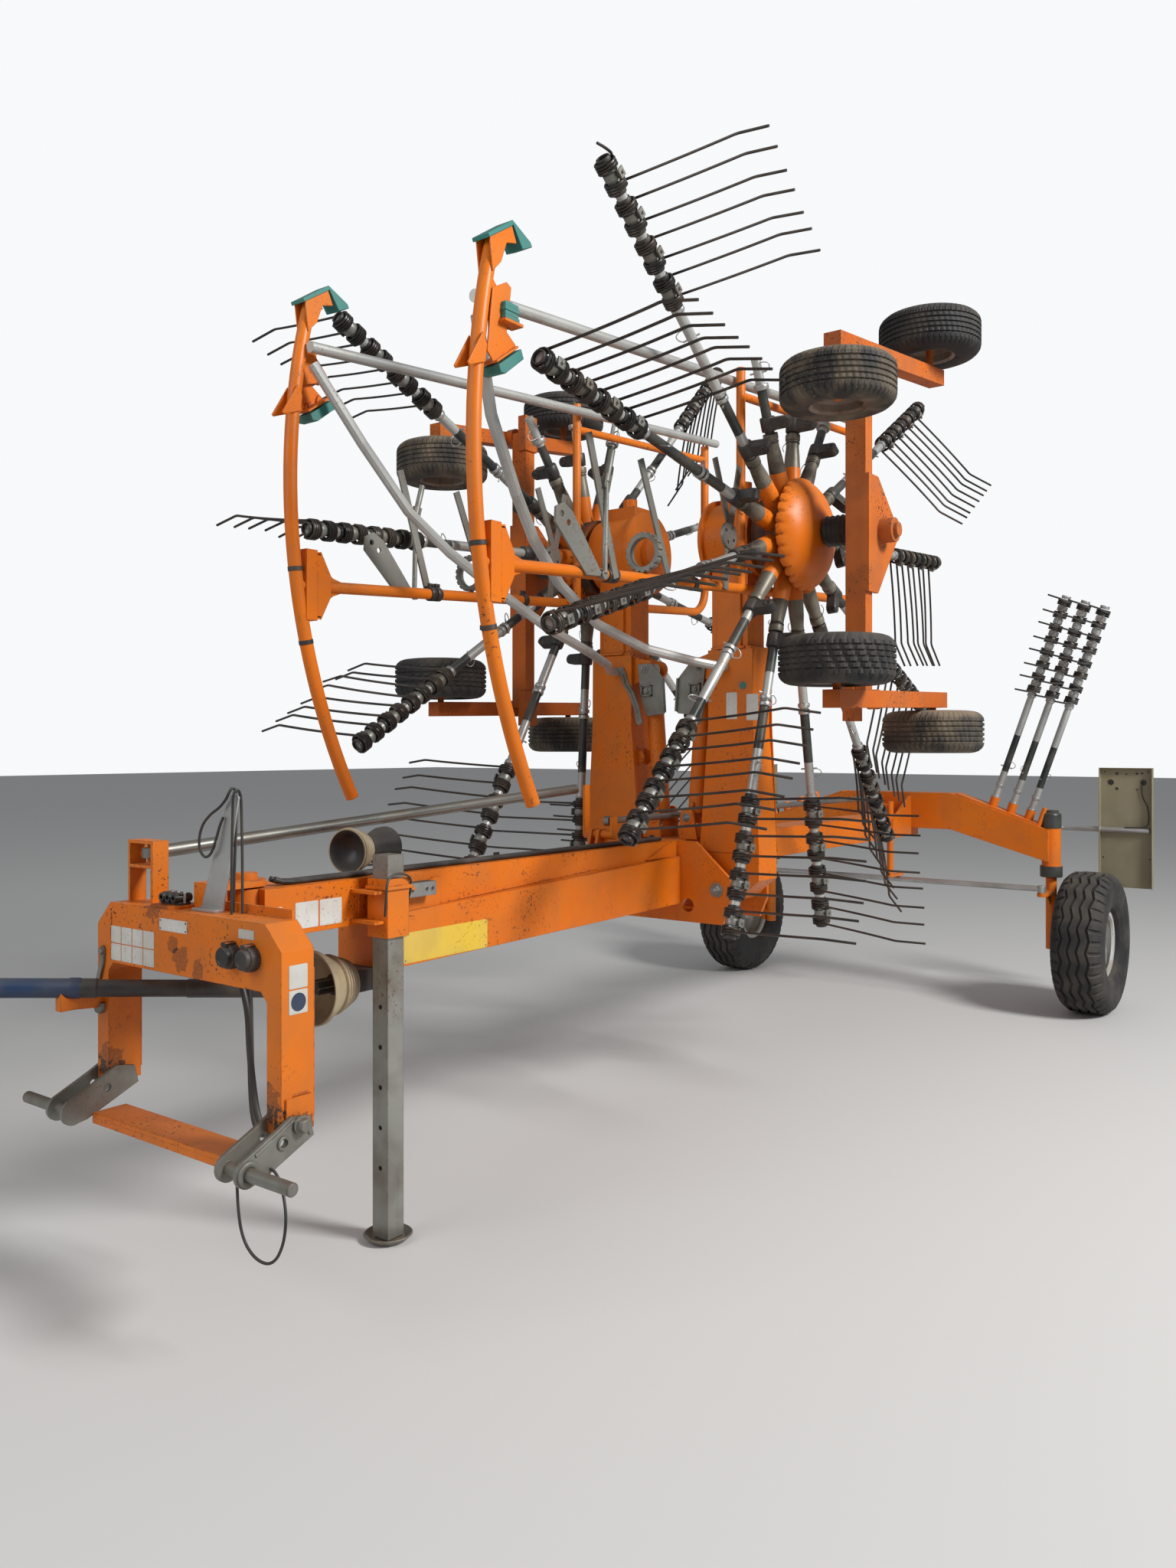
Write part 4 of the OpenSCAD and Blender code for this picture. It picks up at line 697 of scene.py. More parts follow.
for label, side in sides.items():
    body = "rotor_" + label
    chance = random.Random(7 if side > 0 else 11)
    # tubes: inner stub, pushed-on outer arm, worn bright where the springs sit
    bm = bmesh.new()
    tubes = [(p, rotor["armR"]) for p, _ in rotor["arms"]] + [(p, rotor["stubR"]) for p in rotor["stubs"]]
    for position, end in tubes:
        place = armPlace(label, position)
        breaks = [rotor["sleeveR"] - 0.002, 0.62 + chance.uniform(-0.04, 0.08), rotor["stubR"]]
        if end > 1:
            breaks += [0.98 + chance.uniform(-0.05, 0.12), 1.2, end]
        tone = chance.choice((0, 1))
        known = rotor["tones"].get((label, position))
        addArmTube(bm, place, breaks, known or [(tone + i) % 2 if i < 4 else 1 for i in range(len(breaks) - 1)])
        if end > 1:
            addTube(bm, [place @ Vector((end - 0.012, 0, 0)), place @ Vector((end, 0, 0))], 0.0212, 20, 1)
    makePiece("armTubes_" + label, bm, body, ["greenBlack", "silverTube"], replaced=("tine_arms_" + label,))
    springs, bent, clamps, bands, collars, clips, levers = [], [], [], [], [], [], []
    for position, turn in rotor["arms"]:
        for i in range(4):
            along = rotor["firstCoil"] + i * rotor["pitch"]
            kept = bent if (label, position, i) == rotor["bentTine"] else springs
            kept.append(onArm(label, position, along, turn + chance.uniform(-1.5, 1.5)))
            clamps.append(onArm(label, position, along, turn))
            bands += [onArm(label, position, along + s * rotor["band"], turn) for s in (-1, 1)]
        clips += [onArm(label, position, along, chance.uniform(0, 360)) for along in rotor["clips"]]
        levers.append(onArm(label, position, rotor["lever"], turn))
        collars += [onArm(label, position, along) for along in rotor["collars"]]
    for position in rotor["stubs"]:
        collars.append(onArm(label, position, rotor["stubCollar"], size=1.25))
        clips.append(onArm(label, position, rotor["stubClip"], chance.uniform(0, 360)))
        levers.append(onArm(label, position, rotor["lever"]))
    placeCopies("tineSprings_" + label, springMesh, springs, body, "springSteel", 50)
    if bent:
        placeCopies("bentSpring_" + label, bentMesh, bent, body, "springSteel", 50)
    placeCopies("springBands_" + label, collarMesh, bands, body, "blackSteel")
    placeCopies("springClamps_" + label, clampMesh, clamps, body, "castSteel")
    placeCopies("armCollars_" + label, collarMesh, collars, body, "galvanised")
    placeCopies("armClips_" + label, clipMesh, clips, body, "galvanised", 60)
    placeCopies("camLevers_" + label, leverMesh, levers, body, "blackSteel")
print("tine arms made")


# hub: dished cover with a bent, notched rim, sleeves for the arms and the round housing behind
hub = {
    "rim": 0.25, "notch": 0.013, "notches": 30, "steps": 260,
    "cover": ((0.0404, -0.172), (0.076, -0.172), (0.12, -0.16), (0.165, -0.146), (0.2, -0.126), (0.222, -0.106),
              (0.236, -0.09), (0.247, -0.074), (0.25, -0.06), (0.246, -0.056), (0.232, -0.084), (0.216, -0.1),
              (0.19, -0.116), (0.15, -0.132), (0.0404, -0.15)),
    "housing": ((0.0404, -0.08), (0.186, -0.08), (0.19, -0.074), (0.19, 0.088), (0.184, 0.096), (0.0404, 0.096)),
    "web": ((0.18, 0.0), (0.33, 0.0), (0.18, 0.052)),
}
for label, side in sides.items():
    chance = random.Random(3 if side > 0 else 5)
    bends = [chance.uniform(-0.006, 0.006) for _ in range(hub["notches"])]
    bm = bmesh.new()
    place = rotorPlace(label)
    rows = []
    for i in range(hub["steps"]):
        share = i / hub["steps"] * hub["notches"]
        cell, inCell = int(share) % hub["notches"], share % 1.0
        depth = hub["notch"] * min(1.0, 4 * max(0.0, 0.25 - abs(inCell - 0.5)))
        bend = bends[cell] * math.sin(math.pi * inCell)
        angle = 2 * math.pi * i / hub["steps"] + math.radians(rotor["phase"][label])
        row = []
        for r, t in hub["cover"]:
            cut = min(r, hub["rim"] - depth)
            lift = bend if r > 0.23 else 0.0
            row.append(place @ Vector((cut * math.cos(angle), cut * math.sin(angle), t + lift)))
        rows.append(row)
    addRings(bm, rows)
    addLathe(bm, hub["housing"], place.translation, place.to_3x3() @ Vector((0, 0, 1)), 72, 2)
    for k in range(13):
        arm = armPlace(label, k)
        bare = 0.285 + chance.uniform(-0.012, 0.03)
        profile = [(0.0214, 0.15), (0.043, 0.15), (0.041, 0.2), (0.0366, bare), (0.033, 0.36), (0.029, 0.4),
                   (0.029, 0.432), (0.0325, 0.434), (0.033, 0.44), (0.033, 0.456), (0.0322, 0.46), (0.0214, 0.46)]
        addLathe(bm, profile, arm.translation, arm.to_3x3() @ Vector((1, 0, 0)), 28,
                 materials=[0, 0, 0, 1, 1, 1, 1, 1, 1, 1, 1, 0])
        # web between the sleeve and the housing
        for s in (-1, 1):
            addPrism(bm, hub["web"], lambda u, v, w: arm @ Vector((u, w, s * v)), -0.003, 0.003, 2)
    makePiece("hubCover_" + label, bm, "rotor_" + label, ["orangePaint", "greasySteel", "greasyPaint"], smooth=32,
              replaced=("hub_" + label,))
print("hubs made")


# loose wires twisted round the sleeves, some bent over to the cover's rim
wires = {"thick": 0.0016, "sleeves": (0, 1, 2, 3, 4, 6, 8, 9, 10, 12), "radius": 0.0306, "from": 0.418, "to": 0.428}
for label, side in sides.items():
    chance = random.Random(31 if side > 0 else 37)
    bm = bmesh.new()
    for k in wires["sleeves"]:
        arm = armPlace(label, k)
        start, turns = chance.uniform(0, 2 * math.pi), chance.uniform(1.2, 2.4)
        angle = start + turns * 2 * math.pi
        reach, swing = chance.uniform(0.03, 0.07), chance.uniform(-0.6, 0.6)
        # along the arm, off its axis, and turn round it
        spots = [(wires["from"] + (wires["to"] - wires["from"]) * i / 29, wires["radius"],
                  start + (angle - start) * i / 29) for i in range(30)]
        spots += [(wires["to"] - reach * i / 11, wires["radius"] + 0.013 * math.sin(math.pi * i / 11 * 0.8),
                   angle + swing * i / 11) for i in range(1, 12)]
        path = [arm @ Vector((along, off * math.cos(turn), off * math.sin(turn))) for along, off, turn in spots]
        addTube(bm, path, wires["thick"], 6)
    makePiece("sleeveWires_" + label, bm, "rotor_" + label, ["blackSteel"], smooth=60)
print("wires twisted on")


# rear tyres: ribs between zigzag grooves, and notched shoulders
tyre = {"r": 0.4225, "h": 0.145, "y": 1.19, "bead": 0.2, "groove": 0.013, "zigzag": 0.0095, "waves": 20,
        "notches": 40, "steps": 400}


def triangle(x):
    # triangle wave between -1 and 1
    x = x % 1.0
    return 4 * x - 1 if x < 0.5 else 3 - 4 * x


def tyreRow(share):
    r, h, b = tyre["r"], tyre["h"], tyre["bead"]
    wave = tyre["zigzag"] * triangle(share * tyre["waves"])
    cut = 0.013 if (share * tyre["notches"]) % 1.0 < 0.27 else 0.0
    half = [(b, -h + 0.055), (b + 0.012, -h + 0.03), (b + 0.026, -h + 0.022), (b + 0.034, -h + 0.014),
            (b + 0.06, -h + 0.006), (b + 0.082, -h + 0.004), (b + 0.088, -h + 0.0005), (r - 0.1, -h),
            (r - 0.074, -h + 0.001), (r - 0.052 - cut * 0.5, -h + 0.006), (r - 0.034 - cut, -h + 0.015),
            (r - 0.02 - cut, -h + 0.03), (r - 0.009 - cut, -h + 0.046)]
    ribs = []
    for k in (-1.5, -0.5, 0.5, 1.5):
        top = r - 0.002 * k * k
        middle = k * 0.05 + wave
        ribs += [(top, middle - 0.0085), (top - tyre["groove"], middle - 0.0055),
                 (top - tyre["groove"], middle + 0.0055), (top, middle + 0.0085)]
    return half + ribs + mirrored(half)


for label, side in sides.items():
    bm = bmesh.new()
    rows = []
    for i in range(tyre["steps"]):
        angle = 2 * math.pi * i / tyre["steps"]
        rows.append([(r * math.sin(angle), side * tyre["y"] + t, tyre["r"] + r * math.cos(angle))
                     for r, t in tyreRow(i / tyre["steps"])])
    addRings(bm, rows)
    makePiece("tyreTread_" + label, bm, "wheel_" + label, ["tyreRubber"], smooth=28, replaced=("tyre_" + label,))
print("rear tyres made")


# rotor wheels: road tread with straight grooves and slanted shoulder cuts, on pressed rims
smallWheel = {
    "r": 0.2225, "h": 0.095, "y": 1.047, "cuts": 56, "blockyCuts": 30, "groove": 0.007, "nuts": 0.052,
    "places": ((3.26, 2.99), (2.29, 3.44), (3.27, 1.93), (2.25, 1.665)),
    "rim": [(0.0153, -0.04), (0.034, -0.04), (0.034, -0.016), (0.052, -0.018), (0.072, -0.012), (0.084, -0.03),
            (0.096, -0.05), (0.096, -0.078), (0.108, -0.088), (0.113, -0.086), (0.104, -0.074), (0.104, 0.074),
            (0.113, 0.086), (0.108, 0.088), (0.096, 0.078), (0.096, 0.05), (0.084, -0.02), (0.072, 0.002),
            (0.052, -0.004), (0.034, 0.004), (0.034, 0.04), (0.0153, 0.04)],
}


def smallTyreRow(share, blocky):
    r, h, deep = smallWheel["r"], smallWheel["h"], smallWheel["groove"]
    cuts = smallWheel["blockyCuts"] if blocky else smallWheel["cuts"]

    def cutAt(slant, depth):
        return depth if (share * cuts + slant) % 1.0 < 0.28 else 0.0

    half = [(0.104, -h + 0.016), (0.112, -h + 0.006), (0.126, -h + 0.002), (0.15, -h), (r - 0.062, -h),
            (r - 0.04, -h + 0.003), (r - 0.024 - cutAt(0.0, 0.003), -h + 0.009),
            (r - 0.011 - cutAt(0.15, 0.007), -h + 0.02), (r - 0.003 - cutAt(0.3, 0.007), -h + 0.032)]
    ribs = []
    for k in (-2, -1, 0, 1, 2):
        inner = cutAt(0.45 + 0.2 * k, 0.006 if blocky else 0.003)
        ribs += [(r - inner, k * 0.022 - 0.0045), (r - deep, k * 0.022 - 0.003), (r - deep, k * 0.022 + 0.003),
                 (r - inner, k * 0.022 + 0.0045)]
    return half + ribs + mirrored(half)


def buildNut(bm):
    addLathe(bm, sleeve(0.0045, 0.0125, 0.0, 0.002), (0, 0, 0), (0, 0, 1), 20)
    addPrism(bm, circle(0, 0, 0.0088, 6), lambda u, v, w: (u, v, w), 0.002, 0.01)
    addTube(bm, [(0, 0, 0.009), (0, 0, 0.016)], 0.0048, 10)


nutMesh = partMesh("hexNut", buildNut)
for label, side in sides.items():
    y = side * smallWheel["y"]
    for number, (x, z) in enumerate(smallWheel["places"], 1):
        ending = "_%s_%d" % (label, number)
        blocky = number == 3
        bm = bmesh.new()
        steps = smallWheel["blockyCuts"] * 9 if blocky else smallWheel["cuts"] * 6
        rows = []
        for i in range(steps):
            angle = 2 * math.pi * i / steps
            rows.append([(x + r * math.cos(angle), y + r * math.sin(angle), z + t)
                         for r, t in smallTyreRow(i / steps, blocky)])
        addRings(bm, rows)
        addLathe(bm, smallWheel["rim"], (x, y, z), (0, 0, 1), 56, 1)
        for up in (-1, 1):
            addLathe(bm, [(0.0153, up * 0.04), (0.03, up * 0.04), (0.03, up * 0.047), (0.024, up * 0.052),
                          (0.0153, up * 0.052)], (x, y, z), (0, 0, 1), 24, 1)
        rubber = "muddyRubber" if number in (1, 4) else "tyreRubber"
        makePiece("rotorWheel" + ending, bm, "rotor_wheel" + ending, [rubber, "rustyRim"], smooth=30,
                  replaced=("wheel" + ending,))
        nuts = []
        for u, v in circle(x, y, smallWheel["nuts"], 4, math.radians(20)):
            nuts += [(facing((u, v, z + foot), (0, 0, up)), 1.0) for up, foot in ((-1, -0.0195), (1, 0.0))]
        placeCopies("wheelNuts" + ending, nutMesh, nuts, "rotor_wheel" + ending, "wornSteel")
print("rotor wheels made")


# flat shapes: outlines in metres, drawn on a face of the machine
def onFront(u, v, w):
    return (w, u, v)


def onLeft(u, v, w):
    return (u, w, v)


def roundedOutline(low, high, radius, steps=4):
    corners = ((high[0] - radius, high[1] - radius), (low[0] + radius, high[1] - radius),
               (low[0] + radius, low[1] + radius), (high[0] - radius, low[1] + radius))
    return [(cu + radius * math.cos(math.radians(90 * (i + k / steps))),
             cv + radius * math.sin(math.radians(90 * (i + k / steps))))
            for i, (cu, cv) in enumerate(corners) for k in range(steps + 1)]


# blank plates and labels: low and high corner of each, on its face
labelSets = {
    "headPlates": {
        "body": "headstock", "face": 5.4201, "place": onFront, "finishes": ["blankPlate", "wornSteel"],
        "plates": (((-0.113, 1.059), (0.024, 1.095), 0.003), ((0.263, 1.072), (0.331, 1.098), 0.003),
                   *(((-0.371 + 0.0585 * i, 0.944 + 0.054 * j), (-0.316 + 0.0585 * i, 0.995 + 0.054 * j), 0.003)
                     for i in range(4) for j in range(2))),
        "pins": ((-0.107, 1.065), (-0.107, 1.089), (0.018, 1.065), (0.018, 1.089)),
    },
    "legPlates": {
        "body": "headstock", "face": 0.4451, "place": onLeft, "finishes": ["blankPlate", "blueTube"],
        "plates": (((5.332, 0.947), (5.395, 1.011), 0.004), ((5.332, 0.878), (5.395, 0.943), 0.004)),
        "discs": ((5.3635, 0.91, 0.025),),
    },
    "beamPlates": {
        "body": "frame", "face": 0.0901, "place": onLeft, "finishes": ["blankPlate", "wornSteel"],
        "plates": (((4.9, 1.036), (4.99, 1.118), 0.004), ((4.996, 1.036), (5.086, 1.118), 0.004),
                   ((5.135, 1.04), (5.205, 1.112), 0.004)),
    },
    "yellowPlate": {
        "body": "frame", "face": 0.1201, "place": onLeft, "finishes": ["yellowPlate", "wornSteel"],
        "plates": (((4.236, 0.868), (4.658, 0.972), 0.01),),
        "pins": ((4.246, 0.878), (4.648, 0.878), (4.648, 0.962), (4.246, 0.962)),
    },
    "armPlates": {
        "body": "lift_left", "face": 2.8311, "place": onFront, "finishes": ["blankPlate", "tealRubber"],
        "plates": (((0.309, 1.723), (0.364, 1.843), 0.004), ((0.412, 1.717), (0.47, 1.834), 0.004)),
        "discs": ((0.394, 1.873, 0.0175),), "discFoot": 0.0,
    },
}
for name, look in labelSets.items():
    bm = bmesh.new()
    place, face = look["place"], look["face"]
    for low, high, radius in look["plates"]:
        addPrism(bm, roundedOutline(low, high, radius), place, face, face + 0.0012)
        rim = roundedOutline([v + 0.003 for v in low], [v - 0.003 for v in high], max(radius - 0.002, 0.001))
        addPrism(bm, rim, place, face + 0.0011, face + 0.0016)
    for u, v in look.get("pins", ()):
        addPrism(bm, circle(u, v, 0.0028, 10), place, face + 0.001, face + 0.0032, 1)
    for u, v, radius in look.get("discs", ()):
        addPrism(bm, circle(u, v, radius, 32), place, face + look.get("discFoot", 0.0013), face + 0.0022, 1)
    makePiece(name, bm, look["body"], look["finishes"], smooth=30, bevel=0.0004)
print("blank plates laid")


# black caps of the two hose sockets in the headstock
socketCap = {
    "face": 5.4195, "places": ((0.24, 1.021), (0.325, 1.022)), "ribs": 24, "ribR": 0.0345,
    "profile": [(0, 0), (0.0355, 0), (0.0355, 0.004), (0.0345, 0.006), (0.0345, 0.022), (0.0325, 0.0275),
                (0.0285, 0.0285), (0.0285, 0.038), (0.0262, 0.0418), (0.018, 0.0428), (0.016, 0.0412), (0, 0.0412)],
    "tab": ((-0.011, 0.029), (0.011, 0.029), (0.011, 0.037), (0.006, 0.0412), (-0.006, 0.0412), (-0.011, 0.037)),
}
bm = bmesh.new()
face = socketCap["face"]
for y, z in socketCap["places"]:
    addLathe(bm, socketCap["profile"], (face, y, z), (1, 0, 0), 48)
    for u, v in circle(y, z, socketCap["ribR"], socketCap["ribs"]):
        addTube(bm, [(face + 0.006, u, v), (face + 0.022, u, v)], 0.0012, 5)
    addPrism(bm, [(y + u, z + v) for u, v in socketCap["tab"]], onFront, face, face + 0.0352)
makePiece("socketCaps", bm, "headstock", ["bellowsRubber"], bevel=0.0008)
print("socket caps set")


# orange cross plate between the lower link arms, over the plain packed one
crossPlate = {"x": (5.3692, 5.4808), "y": 0.3722, "z": (0.4732, 0.4868), "ribFoot": 0.4542, "rib": 0.0136}
bm = bmesh.new()
(x0, x1), y, (z0, z1) = crossPlate["x"], crossPlate["y"], crossPlate["z"]
addBox(bm, (x0, -y, z0), (x1, y, z1))
for x in (x0, x1 - crossPlate["rib"]):
    addBox(bm, (x, -y, crossPlate["ribFoot"]), (x + crossPlate["rib"], y, z0 + 0.001))
makePiece("crossPlate", bm, "headstock", ["orangePaint"], bevel=0.0015)


# weld beads along the seams: small overlapping lumps on every line
def weldLump(bm):
    start = len(bm.faces)
    rows = []
    for height, radius in ((0.0, 0.0032), (0.45, 0.0029), (0.8, 0.0019), (1.0, 0.0005)):
        rows.append([bm.verts.new((u * 1.1, v * 1.5, -0.001 + 0.003 * height)) for u, v in circle(0, 0, radius, 8)])
    for a, b in zip(rows, rows[1:]):
        for k in range(8):
            bm.faces.new((a[k], a[(k + 1) % 8], b[(k + 1) % 8], b[k]))
    bm.faces.new(list(reversed(rows[0])))
    bm.faces.new(rows[-1])
    markNew(bm, start, 0)


weldPart = partMesh("weldLump", weldLump)
# body and lines: start, end, outward direction
welds = {
    "beamWelds": ("frame", (
        ((4.7, 0.0905, 1.0415), (3.52, 0.0905, 1.0925), (0, 0.7, 0.7)),
        ((4.7, -0.0905, 1.0415), (3.52, -0.0905, 1.0925), (0, -0.7, 0.7)),
        ((4.7205, 0.121, 0.87), (4.7205, 0.121, 1.03), (0.7, 0.7, 0)),
        ((4.828, 0.0905, 1.06), (4.828, 0.0905, 1.14), (0.7, 0.7, 0)))),
    "headWelds": ("headstock", (
        ((5.421, -0.371, 0.945), (5.421, -0.371, 1.088), (1, 0, 0)),
        ((5.3205, 0.064, 1.1205), (5.3205, 0.36, 1.1205), (0.7, 0, 0.7)),
        ((5.366, -0.235, 1.1205), (5.366, -0.112, 1.1205), (0.7, 0, 0.7)),
        ((5.38, 0.4455, 0.66), (5.33, 0.4455, 0.66), (0, 1, 0)))),
}
for name, (body, lines) in welds.items():
    chance = random.Random(len(name))
    places = []
    for start, end, outward in lines:
        start, end, z = Vector(start), Vector(end), Vector(outward).normalized()
        count = max(2, int((end - start).length / 0.0042))
        along = (end - start).normalized()
        turn = Matrix((along, z.cross(along).normalized(), z)).transposed().to_4x4()
        for i in range(count + 1):
            place = start.lerp(end, i / count) + z * chance.uniform(-0.0004, 0.0004)
            places.append((Matrix.Translation(place) @ turn, chance.uniform(0.85, 1.15)))
    placeCopies(name, weldPart, places, body, "orangePaint", smooth=60)
print("weld beads run")


# spare tine arms that stand upright on the axle beam's left slope
spare = {
    "places": (0.6, 0.71, 0.82), "flat": 0.355, "top": 1.3, "endTop": 1.09, "endY": 0.96, "seat": 0.0123,
    "band": 0.071, "collars": (0.52, 0.6, 1.19), "clip": 0.72,
}
slope = math.atan2(spare["top"] - spare["endTop"], spare["endY"] - spare["flat"])
chance = random.Random(19)
springs, collars, clips = [], [], []
bm = bmesh.new()
for y in spare["places"]:
    height = spare["top"] - (y - spare["flat"]) * math.tan(slope)
    place = (Matrix.Translation((0, y, height)) @ Matrix.Rotation(-slope, 4, "X")
             @ Matrix.Translation((0, 0, spare["seat"])) @ Matrix.Rotation(math.radians(-90), 4, "Y")
             @ Matrix.Translation((-rotor["sleeveR"], 0, 0)))
    breaks = (rotor["sleeveR"], 0.66 + chance.uniform(-0.03, 0.06), 0.93, 1.16, rotor["armR"])
    addArmTube(bm, place, breaks, (1, 0, 1, 1))
    coils = [rotor["firstCoil"] + i * rotor["pitch"] for i in range(4)]
    bands = [along + s * spare["band"] for along in coils for s in (-1, 1)]
    springs += [(place @ Matrix.Translation((along, 0, 0)), 1.0) for along in coils]
    collars += [(place @ Matrix.Translation((along, 0, 0)), 1.0) for along in (*bands, *spare["collars"])]
    turn = Matrix.Rotation(chance.uniform(0, 6), 4, "X")
    clips.append((place @ Matrix.Translation((spare["clip"], 0, 0)) @ turn, 1.0))
makePiece("spareTubes", bm, "frame", ["greenBlack", "silverTube"], replaced=("spare_arms",))
placeCopies("spareSprings", springMesh, springs, "frame", "springSteel", 50)
placeCopies("spareClamps", clampMesh, springs, "frame", "wornSteel")
placeCopies("spareCollars", collarMesh, collars, "frame", "galvanised")
placeCopies("spareClips", clipMesh, clips, "frame", "galvanised", 60)
print("spare arms stood")


# drive shaft: rusty inner tube, blue guard tube with its cone, universal joint's forks
shaft = {"start": (5.02, -0.03, 0.83), "end": (6.0, -0.787, 0.9), "fork": 0.12, "blue": 0.61}
shaftRun = Vector(shaft["end"]) - Vector(shaft["start"])
shaftAxis = shaftRun.normalized()
shaftSide = Vector((-shaftAxis.y, shaftAxis.x, 0)).normalized()
shaftDown = shaftSide.cross(shaftAxis)


def onShaft(u, v, w):
    return Vector(shaft["start"]) + shaftDown * u + shaftSide * v + shaftAxis * w


def addTurned(bm, profile, steps, material):
    addLathe(bm, profile, shaft["start"], shaftAxis, steps, material)


bm = bmesh.new()
fork = shaftRun.length - shaft["fork"]
cone = fork - 0.16
blue = shaft["blue"]
addTurned(bm, [(0, 0), (0.029, 0), (0.029, 0.3), (0.0265, 0.302), (0.0265, 0.56), (0.0295, 0.563),
               (0.0295, blue), (0, blue)], 40, 0)
addTurned(bm, [(0, blue - 0.002), (0.0302, blue - 0.002), (0.0318, blue + 0.004), (0.0318, blue + 0.03),
               (0.0296, blue + 0.034), (0.0296, cone - 0.02), (0.0318, cone - 0.016), (0.0318, cone + 0.004),
               (0, cone + 0.004)], 40, 1)
addTurned(bm, [(0, cone), (0.0325, cone), (0.0345, cone + 0.012), (0.034, cone + 0.02), (0.0385, cone + 0.034),
               (0.0375, cone + 0.044), (0.0425, cone + 0.06), (0.0415, cone + 0.072), (0.048, cone + 0.106),
               (0.048, cone + 0.11), (0.0455, cone + 0.11), (0.03, cone + 0.04), (0, cone + 0.04)], 48, 2)
addTurned(bm, sleeve(0, 0.0225, fork - 0.11, fork - 0.021), 32, 3)
# two forks a quarter turn apart, each of two ears, and the cross between them
ear = ((-0.017, -0.05), (0.017, -0.05), (0.02, 0.0), (0.014, 0.016), (0.0, 0.022), (-0.014, 0.016), (-0.02, 0.0))
cross = fork + 0.02
for v in (-0.027, 0.015):
    addPrism(bm, [(u, cross + w) for u, w in ear], lambda a, b, c: onShaft(a, c, b), v, v + 0.012, 3)
for u, v in ((0, 0.0285), (0.0285, 0)):
    addTube(bm, [onShaft(-u, -v, cross), onShaft(u, v, cross)], 0.0112, 20, 3)
for u in (-0.029, 0.017):
    addPrism(bm, [(v, cross - max(w, -0.036)) for v, w in ear], lambda a, b, c: onShaft(c, a, b), u, u + 0.012, 3)
addTurned(bm, [(0.0177, fork + 0.048), (0.029, fork + 0.048), (0.029, fork + 0.09), (0.027, fork + 0.093),
               (0.027, fork + 0.1), (0.029, fork + 0.103), (0.029, shaftRun.length - 0.001),
               (0.0177, shaftRun.length - 0.001)], 36, 3)
addTurned(bm, sleeve(0, 0.028, fork + 0.046, fork + 0.062), 36, 0)
makePiece("driveShaft", bm, "headstock", ["blackSteel", "blueTube", "bellowsRubber", "wornSteel"],
          replaced=("pto_shaft",))
print("drive shaft made")


# guards of the drive line: bell in front of the deep box, and the worn bellows laid on the beam
bell = {"origin": (4.8, 0.0, 0.82), "block": ((4.7202, -0.06, 0.79), (4.801, 0.06, 0.86)), "splines": 6}
bm = bmesh.new()
profile = [(0.0, 0.0), (0.062, 0.0)]
for k in range(5):
    r, a = 0.066 + 0.0058 * k, 0.004 + 0.015 * k
    profile += [(r, a), (r + 0.009, a + 0.003), (r + 0.011, a + 0.0065), (r + 0.009, a + 0.01), (r, a + 0.013)]
profile += [(0.092, 0.08), (0.119, 0.13), (0.1215, 0.134), (0.1215, 0.15), (0.1165, 0.15), (0.112, 0.131),
            (0.08, 0.077), (0.04, 0.052), (0, 0.04)]
addLathe(bm, profile, bell["origin"], (1, 0, 0), 72, 0)
addBox(bm, *bell["block"], 1)
addLathe(bm, [(0, 0.034), (0.034, 0.034), (0.034, 0.06), (0.025, 0.063), (0.025, 0.135), (0.022, 0.1385),
              (0, 0.1385)], bell["origin"], (1, 0, 0), 24, 1)
x, y, z = bell["origin"]
for u, v in circle(y, z, 0.0245, bell["splines"]):
    addTube(bm, [(x + 0.062, u, v), (x + 0.1375, u, v)], 0.0026, 5, 2)
worn = {"origin": (4.69, -0.052, 1.2473), "turn": 12}
wornAxis = Vector((math.cos(math.radians(worn["turn"])), math.sin(math.radians(worn["turn"])), 0))
profile = [(0.0, 0.006), (0.04, 0.006), (0.046, 0.0)]
for k in range(5):
    r, a = 0.054 + 0.0042 * k, 0.002 + 0.0145 * k
    profile += [(r, a), (r + 0.007, a + 0.003), (r + 0.0085, a + 0.006), (r + 0.007, a + 0.009),
                (r - 0.001, a + 0.012)]
profile += [(0.0755, 0.0745), (0.0768, 0.0765), (0.0762, 0.078), (0.0715, 0.078), (0.066, 0.06), (0.048, 0.03),
            (0.036, 0.022), (0, 0.022)]
tones = [0 if profile[k][0] > 0.0545 + 0.0042 * ((k - 3) // 5) else 1 for k in range(len(profile))]
addLathe(bm, profile, worn["origin"], wornAxis, 64, 0, tones)
addLathe(bm, [(0, 0.0225), (0.06, 0.05), (0.069, 0.074), (0.07, 0.0785), (0.067, 0.077), (0.055, 0.056),
              (0.03, 0.036), (0, 0.032)], worn["origin"], wornAxis, 64, 1)
addLathe(bm, [(0, -0.15), (0.066, -0.15), (0.07, -0.146), (0.069, -0.12), (0.05, -0.06), (0.047, 0.004),
              (0, 0.004)], worn["origin"], wornAxis, 48, 1)
makePiece("driveGuards", bm, "frame", ["beigePlastic", "bellowsRubber", "wornSteel"], smooth=34,
          replaced=("pto_guard",))
print("drive guards made")


